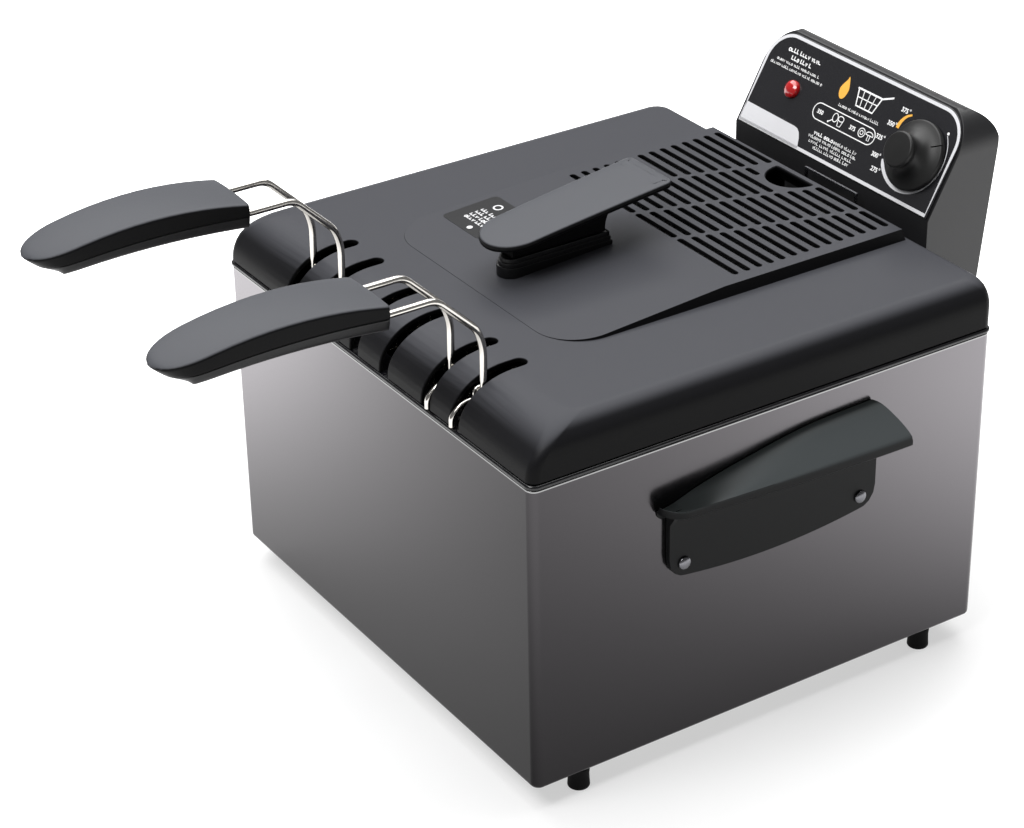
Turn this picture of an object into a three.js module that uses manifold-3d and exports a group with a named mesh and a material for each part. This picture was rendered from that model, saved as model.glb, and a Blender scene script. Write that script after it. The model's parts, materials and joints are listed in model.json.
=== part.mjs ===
// Dual-basket immersion deep fryer: steel housing, enamelled pot, vented lid, two folding-handle
// baskets and a lift-off control head. Millimetres, +Z up, front towards -Y.
import * as THREE from "three";
import { mergeVertices } from "three/addons/utils/BufferGeometryUtils.js";
import Module from "manifold-3d";

const wasm = await Module();
wasm.setup();

// ---------- driving dimensions ----------
const GAP = 0.3; // clearance between touching pieces
const FRAME_SHIFT_Y = 47.3; // housing centre to the middle of the whole object, along Y

const BODY = { halfX: 150.8, halfY: 144.2, corner: 5, sheet: 1.2, flange: 18 };
const FOOT_HEIGHT = 13;
const WALL_TOP = 188;
const PAN = { thick: 1.4, lip: 6 };
const FOOT = { x: 143.3, y: 113, radius: 5.9, stem: 2.6, top: 18 };
const SCREW = { head: 3, shank: 1.5, headHigh: 1.1 };

const RIM = { bottom: WALL_TOP + GAP, top: 191, proud: 0.8 };
const POT = { halfX: 136, front: -130, rear: 138, corner: 26, wall: 1.6, floor: 36 };

const LID = { bottom: RIM.top + GAP, top: 217, wall: 2.2, corner: 5.5, sideRound: 13.4, frontDeep: 33 };
const PLATEAU = { halfX: 86, front: -81, rear: 140.5, top: 223, rampEnd: 20, corner: 26, ramp: 217.2 };
const SLOT = { halfX: 4, rear: -101.3, at: [14.9, 55.6, 82.3] };
const VENT = { rows: 14, first: 33.4, pitch: 7.7, halfX: 76, halfY: 1.65, rib: 3, ribs: [-38, 0, 38] };
const MOON = { x: -3.5, radius: 15.8, chord: 134, deep: 16.6, margin: 4 };
const NOTCH = { low: -25, high: 42, top: 214 };
const FILTER = { halfX: 77.5, front: 28, rear: 134, padRear: 121, screen: 219.4, pad: 8 };

const LID_GRIP = { nose: -72.5, rear: 34, halfFront: 18.5, halfRear: 20, low: 240.8, high: 255.3, thick: 3.6 };
const PEDESTAL = { front: -64, rear: 3, half: 8, tier: 2.6, tiers: 3 };

const BASKET = { x: 68.95, halfX: 60, front: -119.5, rear: 108, low: 62, top: 160, taper: 6, wall: 2 };
const WIRE = { radius: 1.9, half: 15.05, exitZ: 265.4, pivotY: -127.5, pivotZ: 205.8 };
const HANGER = { radius: 1.4, half: 11.35, eye: 4.6, hole: 2.3 };
const GRIP = { rear: -180.5, tip: -297, half: 20, screwY: -232, recess: 264.8 };

const SIDE = { front: -65, rear: 66.5, bottom: 108.3, bow: 0.0013, plate: 3.2, lipX: 172, lipTop: 156.5, lipThick: 4.5 };
const HOOD = { front: -60, rear: 64, end: 11, taper: 7, flare: 11 };
const RIVET = { y: [-56, 56.5], z: 119.8, radius: 2.2, dome: 3.6 };

const HEAD = { halfX: 84.6, wall: 2.4, bottom: 118, face: [155, 223.5], tilt: 29.2, faceLong: 59.7 };
const CROWN = { y: 184.6, z: 258, radius: 18, top: 277, corner: 22 };
const REAR = { y: 185.4, z: 120, tilt: 6.9 };
const LABEL = { halfX: 83, high: 59, corner: 19, thick: 0.7 };
const KNOB = { x: 58.7, v: 27.8, skirt: 19.8, cap: 10.3, high: 18.5 };
const LENS = { x: -51, v: 29.6, radius: 5.3 };
const ELEMENT = { radius: 3.5, z: 50, low: 2, high: 15, legY: 128, overZ: 203, reach: 100, front: -95 };
const STRAP = { low: -12.8, high: 32.2, z: 196, thick: 1.2, top: 221.4 };
const INLET = { halfX: 17, halfY: 10, deep: 15, v: 32 };
const BUTTON = { x: -45, v: 62, radius: 4.5, travel: 2 };
const RAD = Math.PI / 180;

// ---------- geometry helpers ----------
function toSolid(geometry) {
  const g = (geometry.index ? geometry.toNonIndexed() : geometry).clone();
  g.deleteAttribute("normal");
  g.deleteAttribute("uv");
  const merged = mergeVertices(g, 1e-3);
  const solid = new wasm.Manifold(
    new wasm.Mesh({
      numProp: 3,
      vertProperties: merged.attributes.position.array,
      triVerts: new Uint32Array(merged.index.array),
    }),
  );
  if (solid.volume() <= 0) throw new Error("a shape faces inwards");
  return solid;
}

function toGeometry(solid) {
  const m = solid.getMesh();
  const g = new THREE.BufferGeometry();
  g.setAttribute("position", new THREE.BufferAttribute(new Float32Array(m.vertProperties), 3));
  g.setIndex(new THREE.BufferAttribute(new Uint32Array(m.triVerts), 1));
  return g;
}

const join = (...all) => all.reduce((a, b) => a.add(b));
const cut = (body, ...tools) => tools.reduce((a, b) => a.subtract(b), body);

// A closed skin over rings of equal point count, with a fan over each end ring.
function loft(rings) {
  const n = rings[0].length;
  const positions = rings.flat().flatMap((p) => [p.x, p.y, p.z]);
  const faces = [];
  for (let k = 0; k + 1 < rings.length; k++)
    for (let i = 0; i < n; i++) {
      const [a, b] = [k * n + i, k * n + ((i + 1) % n)];
      faces.push(a, b, b + n, a, b + n, a + n);
    }
  const last = (rings.length - 1) * n;
  for (let i = 1; i + 1 < n; i++) faces.push(0, i + 1, i, last, last + i, last + i + 1);
  const g = new THREE.BufferGeometry();
  g.setAttribute("position", new THREE.BufferAttribute(new Float32Array(positions), 3));
  g.setIndex(faces);
  return toSolid(g);
}

// A rounded rectangle as a THREE.Shape between two corners.
function roundRect(x0, x1, y0, y1, r) {
  const s = new THREE.Shape();
  s.absarc(x1 - r, y1 - r, r, 0, Math.PI / 2);
  s.absarc(x0 + r, y1 - r, r, Math.PI / 2, Math.PI);
  s.absarc(x0 + r, y0 + r, r, Math.PI, 1.5 * Math.PI);
  s.absarc(x1 - r, y0 + r, r, 1.5 * Math.PI, 2 * Math.PI);
  s.closePath();
  return s;
}

function polygon(points) {
  return new THREE.Shape(points.map(([a, b]) => new THREE.Vector2(a, b)));
}

// Prisms along Z, along X (shape drawn in Y,Z) and along Y (shape drawn in X,Z).
function prismZ(shape, z0, z1, segments = 4) {
  const g = new THREE.ExtrudeGeometry(shape, { depth: z1 - z0, bevelEnabled: false, curveSegments: segments });
  return toSolid(g.translate(0, 0, z0));
}

function prismX(shape, x0, x1, segments = 4) {
  const g = new THREE.ExtrudeGeometry(shape, { depth: x1 - x0, bevelEnabled: false, curveSegments: segments });
  const turn = new THREE.Matrix4().makeBasis(
    new THREE.Vector3(0, 1, 0),
    new THREE.Vector3(0, 0, 1),
    new THREE.Vector3(1, 0, 0),
  );
  return toSolid(g.applyMatrix4(turn).translate(x0, 0, 0));
}

function prismY(shape, y0, y1, segments = 4) {
  const g = new THREE.ExtrudeGeometry(shape, { depth: y1 - y0, bevelEnabled: false, curveSegments: segments });
  return toSolid(g.rotateX(Math.PI / 2).translate(0, y1, 0));
}

function box(x0, x1, y0, y1, z0, z1) {
  const g = new THREE.BoxGeometry(x1 - x0, y1 - y0, z1 - z0);
  return toSolid(g.translate((x0 + x1) / 2, (y0 + y1) / 2, (z0 + z1) / 2));
}

// A cylinder about Z from z0 to z1, or about X with rodX.
function rodZ(x, y, r, z0, z1, sides = 12) {
  const g = new THREE.CylinderGeometry(r, r, z1 - z0, sides).rotateX(Math.PI / 2);
  return toSolid(g.translate(x, y, (z0 + z1) / 2));
}

function rodX(y, z, r, x0, x1, sides = 12) {
  const g = new THREE.CylinderGeometry(r, r, x1 - x0, sides).rotateZ(Math.PI / 2);
  return toSolid(g.translate((x0 + x1) / 2, y, z));
}

// A turned piece about Z from [radius, height] pairs, bottom to top.
function turned(profile, sides = 12) {
  return toSolid(new THREE.LatheGeometry(profile.map(([r, z]) => new THREE.Vector2(r, z)), sides).rotateX(Math.PI / 2));
}

// Ring of a rounded rectangle at height z, for lofts.
function rectRing(x0, x1, y0, y1, r, z, segments = 4) {
  return roundRect(x0, x1, y0, y1, r)
    .extractPoints(segments)
    .shape.slice(0, -1)
    .map((p) => new THREE.Vector3(p.x, p.y, z));
}

// Wire along straight runs with rounded bends. Each inner point's bend has radius `bend` at most.
function wire(points, radius, bend, sides = 8, steps = 3) {
  const at = points.map((p) => new THREE.Vector3(...p));
  const line = [at[0]];
  for (let i = 1; i + 1 < at.length; i++) {
    const [inward, outward] = [at[i - 1].clone().sub(at[i]), at[i + 1].clone().sub(at[i])];
    const reach = Math.min(bend, inward.length() * 0.45, outward.length() * 0.45);
    const curve = new THREE.QuadraticBezierCurve3(
      at[i].clone().addScaledVector(inward.normalize(), reach),
      at[i],
      at[i].clone().addScaledVector(outward.normalize(), reach),
    );
    line.push(...curve.getPoints(steps));
  }
  line.push(at.at(-1));
  const direction = (i) => line[Math.min(i + 1, line.length - 1)].clone().sub(line[Math.max(i - 1, 0)]).normalize();
  let tangent = direction(0);
  const start = Math.abs(tangent.z) < 0.9 ? new THREE.Vector3(0, 0, 1) : new THREE.Vector3(1, 0, 0);
  const normal = start.cross(tangent).normalize();
  const rings = line.map((centre, i) => {
    const next = direction(i);
    normal.applyQuaternion(new THREE.Quaternion().setFromUnitVectors(tangent, next));
    tangent = next;
    const side = tangent.clone().cross(normal);
    return Array.from({ length: sides }, (_, k) => {
      const turn = (2 * Math.PI * k) / sides;
      return centre
        .clone()
        .addScaledVector(normal, radius * Math.cos(turn))
        .addScaledVector(side, radius * Math.sin(turn));
    });
  });
  return loft(rings);
}

// ---------- materials ----------
const finish = (color, roughness, metalness) => ({ color, roughness, metalness });
const STEEL = finish(0x6a6468, 0.38, 0.9);
const CHROME = finish(0xc9c6c0, 0.16, 1);
const PLASTIC = finish(0x3a3b3f, 0.5, 0);
const BLACK = finish(0x17181a, 0.4, 0);
const ENAMEL = finish(0x0c0c0d, 0.12, 0);
const RUBBER = finish(0x111112, 0.75, 0);
const ZINC = finish(0x9a9a98, 0.4, 0.9);

const fryer = new THREE.Group();
fryer.name = "deep_fryer";
const object = new THREE.Group();
object.position.y = FRAME_SHIFT_Y;
fryer.add(object);

function add(name, solid, look, group = object) {
  const mesh = new THREE.Mesh(toGeometry(solid), new THREE.MeshStandardMaterial(look));
  mesh.name = name;
  group.add(mesh);
}

// ---------- housing ----------
const footPlaces = [-1, 1].flatMap((sy) => [-1, 1].map((sx) => [sx * FOOT.x, sy * FOOT.y]));
const baseScrewPlaces = [
  [-BODY.halfX + 10, 0],
  [BODY.halfX - 10, 0],
  [0, -BODY.halfY + 10],
  [0, BODY.halfY - 10],
];

function bottomHoles(z0, z1) {
  const feet = footPlaces.map(([x, y]) => rodZ(x, y, FOOT.stem + GAP, z0, z1, 10));
  const screws = baseScrewPlaces.map(([x, y]) => rodZ(x, y, SCREW.shank + GAP, z0, z1, 8));
  return [...feet, ...screws];
}

function housingShell() {
  const { halfX, halfY, corner, sheet, flange } = BODY;
  const outer = prismZ(roundRect(-halfX, halfX, -halfY, halfY, corner), FOOT_HEIGHT, WALL_TOP, 5);
  const [inX, inY] = [halfX - sheet, halfY - sheet];
  const inside = prismZ(roundRect(-inX, inX, -inY, inY, corner - sheet), FOOT_HEIGHT + sheet, WALL_TOP + 1, 5);
  const [openX, openY] = [inX - flange, inY - flange];
  const opening = prismZ(roundRect(-openX, openX, -openY, openY, corner), FOOT_HEIGHT - 1, FOOT_HEIGHT + 3);
  const rivets = RIVET.y.flatMap((y) =>
    [-halfX, halfX].map((x) => rodX(y, RIVET.z, RIVET.radius + GAP, x - 4, x + 4, 8)));
  return cut(outer, inside, opening, ...rivets, ...bottomHoles(FOOT_HEIGHT - 1, FOOT_HEIGHT + 3));
}

function basePan() {
  const clear = BODY.sheet + GAP;
  const [x, y] = [BODY.halfX - clear, BODY.halfY - clear];
  const bottom = FOOT_HEIGHT + BODY.sheet + GAP;
  const plate = prismZ(roundRect(-x, x, -y, y, BODY.corner - clear), bottom, bottom + PAN.thick + PAN.lip);
  const [ix, iy] = [x - PAN.thick, y - PAN.thick];
  const dish = prismZ(roundRect(-ix, ix, -iy, iy, 5), bottom + PAN.thick, bottom + 20);
  const slots = [-40, 0, 40].map((sy) => prismZ(roundRect(-45, 45, sy - 3, sy + 3, 2.5), bottom - 1, bottom + 3, 2));
  return cut(plate, dish, ...slots, ...bottomHoles(bottom - 1, bottom + 3));
}

function foot(x, y) {
  const top = FOOT_HEIGHT - GAP;
  const { radius, stem } = FOOT;
  const profile = [[0, 0], [radius - 2, 0], [radius - 0.6, 0.8], [radius, 2.2], [radius, top], [stem, top], [stem, FOOT.top], [0, FOOT.top]];
  return turned(profile, 10).translate([x, y, 0]);
}

function screw(x, y, headBottom, length) {
  const headTop = headBottom + SCREW.headHigh;
  const profile = [[0, headBottom], [SCREW.head, headBottom], [SCREW.head, headTop], [SCREW.shank, headTop], [SCREW.shank, headTop + length], [0, headTop + length]];
  return turned(profile, 8).translate([x, y, 0]);
}

// Bracket on the back of the housing that the control head slides over.
function headGuide() {
  const y = BODY.halfY + GAP;
  const lips = HEAD.face[0] - 1.2;
  const outline = polygon([[-56, y], [56, y], [56, lips], [54.8, lips], [54.8, y + 1.2], [-54.8, y + 1.2], [-54.8, lips], [-56, lips]]);
  return prismZ(outline, 124, 182);
}

// Side handle on the +X wall: a plate with a bowed lower edge and a hood that flares out over it,
// tapering towards the front. Each station is [y, height] of the hood's root on the wall.
const hoodRoots = [
  [-71, 153], [-69, 153.1], [-66, 153.4], [-60, 154.6], [-50, 157.9], [-40, 160.6],
  [-26, 163.7], [-12, 166.3], [4, 169.2], [26, 172], [HOOD.rear, 173.4],
];
const hoodRoot = (y) => {
  const k = Math.max(1, hoodRoots.findIndex(([at]) => at >= y));
  const [[y0, z0], [y1, z1]] = [hoodRoots[k - 1], hoodRoots[k]];
  return z0 + ((z1 - z0) * (y - y0)) / (y1 - y0);
};
const hoodReach = (y) => {
  const { front, rear, end, taper } = HOOD;
  const full = SIDE.lipX - taper * ((rear - Math.max(y, front)) / (rear - front)) ** 1.5;
  const round = Math.sqrt(1 - 0.96 * (Math.max(0, front - y) / end) ** 2);
  return BODY.halfX + (full - BODY.halfX) * round;
};

function sideHandle() {
  const x0 = BODY.halfX + GAP;
  const { front, rear, bottom, bow, plate, lipTop, lipThick } = SIDE;
  const lower = (y) => bottom + bow * y * y;
  const outline = new THREE.Shape();
  outline.moveTo(front, lower(front) + 12);
  outline.quadraticCurveTo(front, lower(front), front + 11, lower(front + 11));
  for (let k = 1; k < 8; k++) {
    const y = front + 11 + (rear - front - 22) * (k / 8);
    outline.lineTo(y, lower(y));
  }
  outline.lineTo(rear - 11, lower(rear - 11));
  outline.quadraticCurveTo(rear, lower(rear), rear, lower(rear) + 12);
  for (let k = 0; k <= 8; k++) {
    const y = rear + (front - rear) * (k / 8);
    outline.lineTo(y, hoodRoot(Math.min(y, HOOD.rear)) - 3);
  }
  outline.closePath();
  const back = prismX(outline, x0, x0 + plate);
  const rings = hoodRoots.map(([y, root]) => {
    const lip = hoodReach(y);
    const flare = HOOD.flare * Math.max(0, y / HOOD.rear) ** 2;
    const middle = (x0 + lip) / 2;
    const crown = (root + lipTop) / 2 + 1.4;
    return [
      [x0, root, 0],
      [middle, crown, 0.5],
      [lip, lipTop, 1],
      [lip, lipTop - lipThick, 1],
      [Math.max(lip - 3, middle + 0.4), lipTop - lipThick, 1],
      [middle, crown - 4, 0.5],
      [x0, root - 6, 0],
    ].map(([x, z, out]) => new THREE.Vector3(x, y + flare * out, z));
  });
  const endWall = (y) => {
    const [reach, root] = [hoodReach(y) - 4, hoodRoot(y)];
    const low = polygon([[x0, 139], [reach, lipTop - lipThick], [reach, lipTop - 1], [x0, root - 4]]);
    return prismY(low, y, y + 3);
  };
  const holes = RIVET.y.map((y) => rodX(y, RIVET.z, RIVET.radius + GAP, x0 - 1, x0 + plate + 1, 8));
  return cut(join(back, loft(rings), endWall(front), endWall(rear - 6)), ...holes);
}

function rivet(y) {
  const { radius, dome } = RIVET;
  const seat = BODY.halfX + GAP + SIDE.plate + GAP;
  const inner = BODY.halfX - BODY.sheet - GAP;
  const profile = [[0, inner - 1.4], [dome, inner - 1.4], [dome, inner], [radius, inner], [radius, seat], [dome, seat], [dome * 0.8, seat + 1.3], [dome * 0.4, seat + 1.9], [0, seat + 2]];
  const g = new THREE.LatheGeometry(profile.map(([r, z]) => new THREE.Vector2(r, z)), 8);
  return toSolid(g.rotateX(Math.PI / 2).rotateY(Math.PI / 2).translate(0, y, RIVET.z));
}

add("housing_shell", housingShell(), STEEL);
add("base_pan", basePan(), ZINC);
const corners = ["front_left", "front_right", "rear_left", "rear_right"];
footPlaces.forEach(([x, y], i) => add("foot_" + corners[i], foot(x, y), RUBBER));
baseScrewPlaces.forEach(([x, y], i) =>
  add("base_screw_" + (i + 1), screw(x, y, FOOT_HEIGHT - GAP - SCREW.headHigh, 5), ZINC));
add("head_guide", headGuide(), ZINC);
for (const [side, sign] of [["right", 1], ["left", -1]]) {
  const place = (solid) => (sign > 0 ? solid : solid.mirror([1, 0, 0]));
  add("side_handle_" + side, place(sideHandle()), BLACK);
  RIVET.y.forEach((y, i) => add("handle_rivet_" + side + "_" + (i + 1), place(rivet(y)), ZINC));
}

// ---------- pot ----------
function pot() {
  const { halfX, front, rear, corner, wall, floor } = POT;
  const [rx, ry] = [BODY.halfX + RIM.proud, BODY.halfY + RIM.proud];
  const rim = prismZ(roundRect(-rx, rx, -ry, ry, BODY.corner + RIM.proud), RIM.bottom, RIM.top, 5);
  const bowl = loft([
    rectRing(-halfX + 8, halfX - 8, front + 8, rear - 8, corner - 8, floor),
    rectRing(-halfX, halfX, front, rear, corner, floor + 10),
    rectRing(-halfX, halfX, front, rear, corner, RIM.bottom + 1),
  ]);
  const inside = loft([
    rectRing(-halfX + 8 + wall, halfX - 8 - wall, front + 8 + wall, rear - 8 - wall, corner - 9, floor + wall),
    rectRing(-halfX + wall, halfX - wall, front + wall, rear - wall, corner - wall, floor + 10 + wall),
    rectRing(-halfX + wall, halfX - wall, front + wall, rear - wall, corner - wall, RIM.top + 1),
  ]);
  return cut(join(rim, bowl), inside);
}
add("pot", pot(), ENAMEL);

// ---------- lid ----------
// Half-width lost at height z by a rounded edge of the given height and reach.
function roundOff(z, high, reach) {
  const rise = Math.max(0, z - (LID.top - high)) / high;
  return reach * (1 - Math.sqrt(Math.max(0, 1 - rise * rise)));
}

function lidBlock(inset, bottom) {
  const top = LID.top - inset;
  const steps = [0, 0.2, 0.45, 0.68, 0.85, 0.95, 1];
  const start = LID.top - 24;
  const heights = [bottom, ...steps.map((s) => start + (LID.top - start) * s)];
  return loft(
    heights.map((z) => {
      const side = roundOff(z, LID.sideRound, LID.sideRound);
      const front = roundOff(z, 24, LID.frontDeep);
      const rear = roundOff(z, 5, 5);
      const shown = z === bottom ? z : Math.min(z - inset * ((z - start) / (LID.top - start)), top);
      const x = BODY.halfX - inset - side;
      return rectRing(-x, x, -BODY.halfY + inset + front, BODY.halfY - inset - rear, LID.corner + side * 0.4, shown, 3);
    }),
  );
}

function plateau(inset) {
  const { halfX, front, rear, top, rampEnd, corner, ramp } = PLATEAU;
  const low = LID.top - 9;
  const side = [[front + inset, low], [front + inset, ramp - inset], [rampEnd, top - inset], [rear - 3 - inset, top - inset], [rear - inset, low]];
  const ridge = prismX(polygon(side), -halfX - 1, halfX + 1);
  const plan = (grow, z) => {
    const s = new THREE.Shape();
    const x = halfX + grow - inset;
    s.absarc(x - corner, front + inset + corner, corner, -Math.PI / 2, 0);
    s.lineTo(x, rear);
    s.lineTo(-x, rear);
    s.absarc(-x + corner, front + inset + corner, corner, Math.PI, 1.5 * Math.PI);
    s.closePath();
    return s.extractPoints(5).shape.slice(0, -1).map((p) => new THREE.Vector3(p.x, p.y, z));
  };
  return ridge.intersect(loft([plan(0, low - 1), plan(0, LID.top - 1), plan(-2.5, top + 1)]));
}

function lidSlot(x) {
  const s = new THREE.Shape();
  const { halfX, rear } = SLOT;
  s.moveTo(x - halfX, -BODY.halfY - 3);
  s.lineTo(x + halfX, -BODY.halfY - 3);
  s.lineTo(x + halfX, rear - halfX);
  s.absarc(x, rear - halfX, halfX, 0, Math.PI);
  s.closePath();
  return prismZ(s, LID.bottom - 2, LID.top + 8);
}

// Half-width at y that the vents leave free round the half-moon hole.
function moonClear(y) {
  const { radius, chord, deep, margin } = MOON;
  const rise = Math.max(0, chord - y) / (deep + margin);
  return rise < 1 ? (radius + margin) * Math.sqrt(1 - rise * rise) : 0;
}

function ventSlots() {
  const { rows, first, pitch, halfX, halfY, rib, ribs } = VENT;
  const [bottom, top] = [PLATEAU.top - 5, PLATEAU.top + 3];
  const cuts = [];
  for (let row = 0; row < rows; row++) {
    const y = first + pitch * row;
    const stops = ribs.map((x) => x + 2.2 * (row - (rows - 1) / 2));
    const clear = moonClear(y);
    const [low, high] = [MOON.x - clear, MOON.x + clear];
    const edges = [-halfX, ...stops.flatMap((x) => [x - rib / 2, x + rib / 2]), halfX];
    for (let k = 0; k < edges.length; k += 2) {
      const [a, b] = [edges[k], edges[k + 1]];
      const spans = clear && a < high && b > low ? [[a, low], [high, b]] : [[a, b]];
      for (const [c, d] of spans)
        if (d - c > 4) cuts.push(box(c, d, y - halfY, y + halfY, bottom, top));
    }
  }
  return cuts;
}

function halfMoon() {
  const s = new THREE.Shape();
  s.absellipse(MOON.x, MOON.chord, MOON.radius, MOON.deep, Math.PI, 2 * Math.PI);
  s.closePath();
  return prismZ(s, PLATEAU.top - 6, PLATEAU.top + 3, 8);
}

const lidScrewY = [-48, -14];
function lidShell() {
  const outer = join(lidBlock(0, LID.bottom), plateau(0));
  const inner = join(lidBlock(LID.wall, LID.bottom - 2), plateau(LID.wall));
  const notch = box(NOTCH.low, NOTCH.high, BODY.halfY - 10, BODY.halfY + 2, LID.bottom - 1, NOTCH.top);
  const slots = SLOT.at.flatMap((x) => [lidSlot(x), lidSlot(-x)]);
  const holes = lidScrewY.map((y) => rodZ(0, y, SCREW.shank + GAP, LID.top - 9, PLATEAU.top + 4));
  return cut(outer, inner, notch, ...slots, ...holes, halfMoon(), ...ventSlots());
}

// Height of the plateau's top at y, where the pedestal stands.
const rampAt = (y) =>
  PLATEAU.ramp + (PLATEAU.top - PLATEAU.ramp) * ((y - PLATEAU.front) / (PLATEAU.rampEnd - PLATEAU.front));

function pedestalPlan(grow) {
  const { front, rear, half } = PEDESTAL;
  const s = new THREE.Shape();
  const h = half + grow;
  s.moveTo(h, rear + grow);
  s.lineTo(-h, rear + grow);
  s.lineTo(-h, front + half);
  s.absarc(0, front + half, h, Math.PI, 2 * Math.PI);
  s.closePath();
  return s;
}

// Stepped foot of the lid handle, cut to the plateau's slope.
function lidHandleBase() {
  const { tier, tiers, rear, front } = PEDESTAL;
  const steps = Array.from({ length: tiers }, (_, k) =>
    prismZ(pedestalPlan(-k * 0.9), LID.top - 4, rampAt(rear) + tier * (k + 1) - k * 0.4, 5));
  const slope = polygon([[front - 30, LID.top - 20], [rear + 30, LID.top - 20], [rear + 30, rampAt(rear + 30) + GAP], [front - 30, rampAt(front - 30) + GAP]]);
  const holes = lidScrewY.map((y) => rodZ(0, y, SCREW.shank + GAP, LID.top - 9, PLATEAU.top + 20));
  return cut(join(...steps), prismX(slope, -30, 30), ...holes);
}

function lidHandle() {
  const { nose, rear, halfFront, halfRear, low, high, thick } = LID_GRIP;
  const plan = new THREE.Shape();
  plan.moveTo(halfRear - 3, rear);
  plan.lineTo(-halfRear + 3, rear);
  plan.quadraticCurveTo(-halfRear, rear, -halfRear, rear - 4);
  plan.lineTo(-halfFront, nose + halfFront);
  plan.absellipse(0, nose + halfFront, halfFront, halfFront, Math.PI, 2 * Math.PI);
  plan.lineTo(halfRear, rear - 4);
  plan.quadraticCurveTo(halfRear, rear, halfRear - 3, rear);
  const arch = (y) => low + (high - low) * ((y - nose) / (rear - nose)) ** 0.9;
  const upper = Array.from({ length: 9 }, (_, k) => nose + ((rear - nose) * k) / 8).map((y) => [y, arch(y)]);
  const lower = upper.map(([y, z]) => [y, z - thick]).reverse();
  const top = prismX(polygon([...upper, ...lower]), -40, 40).intersect(prismZ(plan, low - 20, high + 10, 6));
  const footTop = rampAt(PEDESTAL.rear) + PEDESTAL.tier * PEDESTAL.tiers - 0.8 + GAP;
  const web = new THREE.Shape();
  web.moveTo(PEDESTAL.front + 5, footTop);
  web.lineTo(PEDESTAL.rear - 3, footTop);
  web.quadraticCurveTo(PEDESTAL.rear - 4, 240, 12, arch(12) - thick + 1);
  web.lineTo(nose + 14, arch(nose + 14) - thick + 1);
  web.closePath();
  const half = PEDESTAL.half - 2.4;
  const holes = lidScrewY.map((y) => rodZ(0, y, SCREW.shank + GAP, footTop - 1, footTop + 8));
  return cut(join(top, prismX(web, -half, half)), ...holes);
}

function filterFrame() {
  const { halfX, front, padRear, screen, pad } = FILTER;
  const bottom = screen - pad - 5;
  const tray = prismZ(roundRect(-halfX, halfX, front, padRear, 4), bottom, bottom + 3, 2);
  const windows = [];
  for (let row = 0; row < 5; row++)
    for (let col = 0; col < 4; col++) {
      const [x, y] = [-halfX + 6 + col * 37.2, front + 5 + row * 17];
      windows.push(box(x, x + 33, y, y + 13.5, bottom - 1, bottom + 4));
    }
  return cut(tray, ...windows);
}

add("lid_shell", lidShell(), PLASTIC);
add("lid_handle", lidHandle(), PLASTIC);
add("lid_handle_base", lidHandleBase(), BLACK);
lidScrewY.forEach((y, i) => {
  const under = rampAt(y) - LID.wall - GAP - 0.6 - SCREW.headHigh;
  add("lid_handle_screw_" + (i + 1), screw(0, y, under, 18), ZINC);
});
function filterSheet(rear, low, high) {
  return prismZ(roundRect(-FILTER.halfX, FILTER.halfX, FILTER.front, rear, 4), low, high, 2);
}
const moonSide = MOON.radius + 3;
const moonBay = box(MOON.x - moonSide, MOON.x + moonSide, MOON.chord - MOON.deep - 3, 140, FILTER.screen - 1, FILTER.screen + 2);
add("filter_screen", cut(filterSheet(FILTER.rear, FILTER.screen, FILTER.screen + 0.8), moonBay), CHROME);
add("filter_pad", filterSheet(FILTER.padRear, FILTER.screen - GAP - FILTER.pad, FILTER.screen - GAP), RUBBER);
add("filter_frame", filterFrame(), BLACK);

// ---------- control head ----------
const faceTilt = HEAD.tilt * RAD;
const rearTilt = REAR.tilt * RAD;
const facePoint = (v, off = 0) => [
  HEAD.face[0] + v * Math.sin(faceTilt) - off * Math.cos(faceTilt),
  HEAD.face[1] + v * Math.cos(faceTilt) + off * Math.sin(faceTilt),
];
const rearPoint = (v, off = 0) => [
  REAR.y + v * Math.sin(rearTilt) + off * Math.cos(rearTilt),
  REAR.z + v * Math.cos(rearTilt) - off * Math.sin(rearTilt),
];

// Carries a solid made about +Z at the origin onto the sloping face or the back.
function onFace(x, v, solid) {
  const g = toGeometry(solid);
  const [y, z] = facePoint(v);
  return toSolid(g.rotateX(Math.PI / 2 - faceTilt).translate(x, y, z));
}

function onRear(x, v, solid) {
  const [y, z] = rearPoint(v);
  const turn = new THREE.Matrix4().makeBasis(
    new THREE.Vector3(-1, 0, 0),
    new THREE.Vector3(0, Math.sin(rearTilt), Math.cos(rearTilt)),
    new THREE.Vector3(0, Math.cos(rearTilt), -Math.sin(rearTilt)),
  );
  return toSolid(toGeometry(solid).applyMatrix4(turn).translate(x, y, z));
}

// Side outline of the head, shrunk by inset; the back can be left open for the cavity.
function headProfile(inset, back) {
  const s = new THREE.Shape();
  const low = facePoint(-1, -inset);
  const high = facePoint(HEAD.faceLong - inset, -inset);
  s.moveTo(low[0], HEAD.bottom + inset);
  s.lineTo(low[0], low[1]);
  s.lineTo(high[0], high[1]);
  s.absarc(CROWN.y, CROWN.z, CROWN.radius - inset, 90 * RAD, 8 * RAD, true);
  const top = rearPoint(126, back);
  const bottom = rearPoint(0, back);
  if (inset > 0) s.lineTo(...rearPoint(126, -inset));
  s.lineTo(top[0], top[1]);
  s.lineTo(bottom[0], HEAD.bottom + inset);
  s.closePath();
  return s;
}

function headBlock(inset, back) {
  const x = HEAD.halfX - inset;
  const round = CROWN.corner - inset;
  const top = CROWN.top - inset;
  const front = new THREE.Shape();
  front.moveTo(-x, HEAD.bottom - 5);
  front.lineTo(x, HEAD.bottom - 5);
  front.lineTo(x, top - round);
  front.absarc(x - round, top - round, round, 0, Math.PI / 2);
  front.absarc(-x + round, top - round, round, Math.PI / 2, Math.PI);
  front.closePath();
  return prismX(headProfile(inset, back), -x, x, 6).intersect(prismY(front, 140, 220, 6));
}

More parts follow.
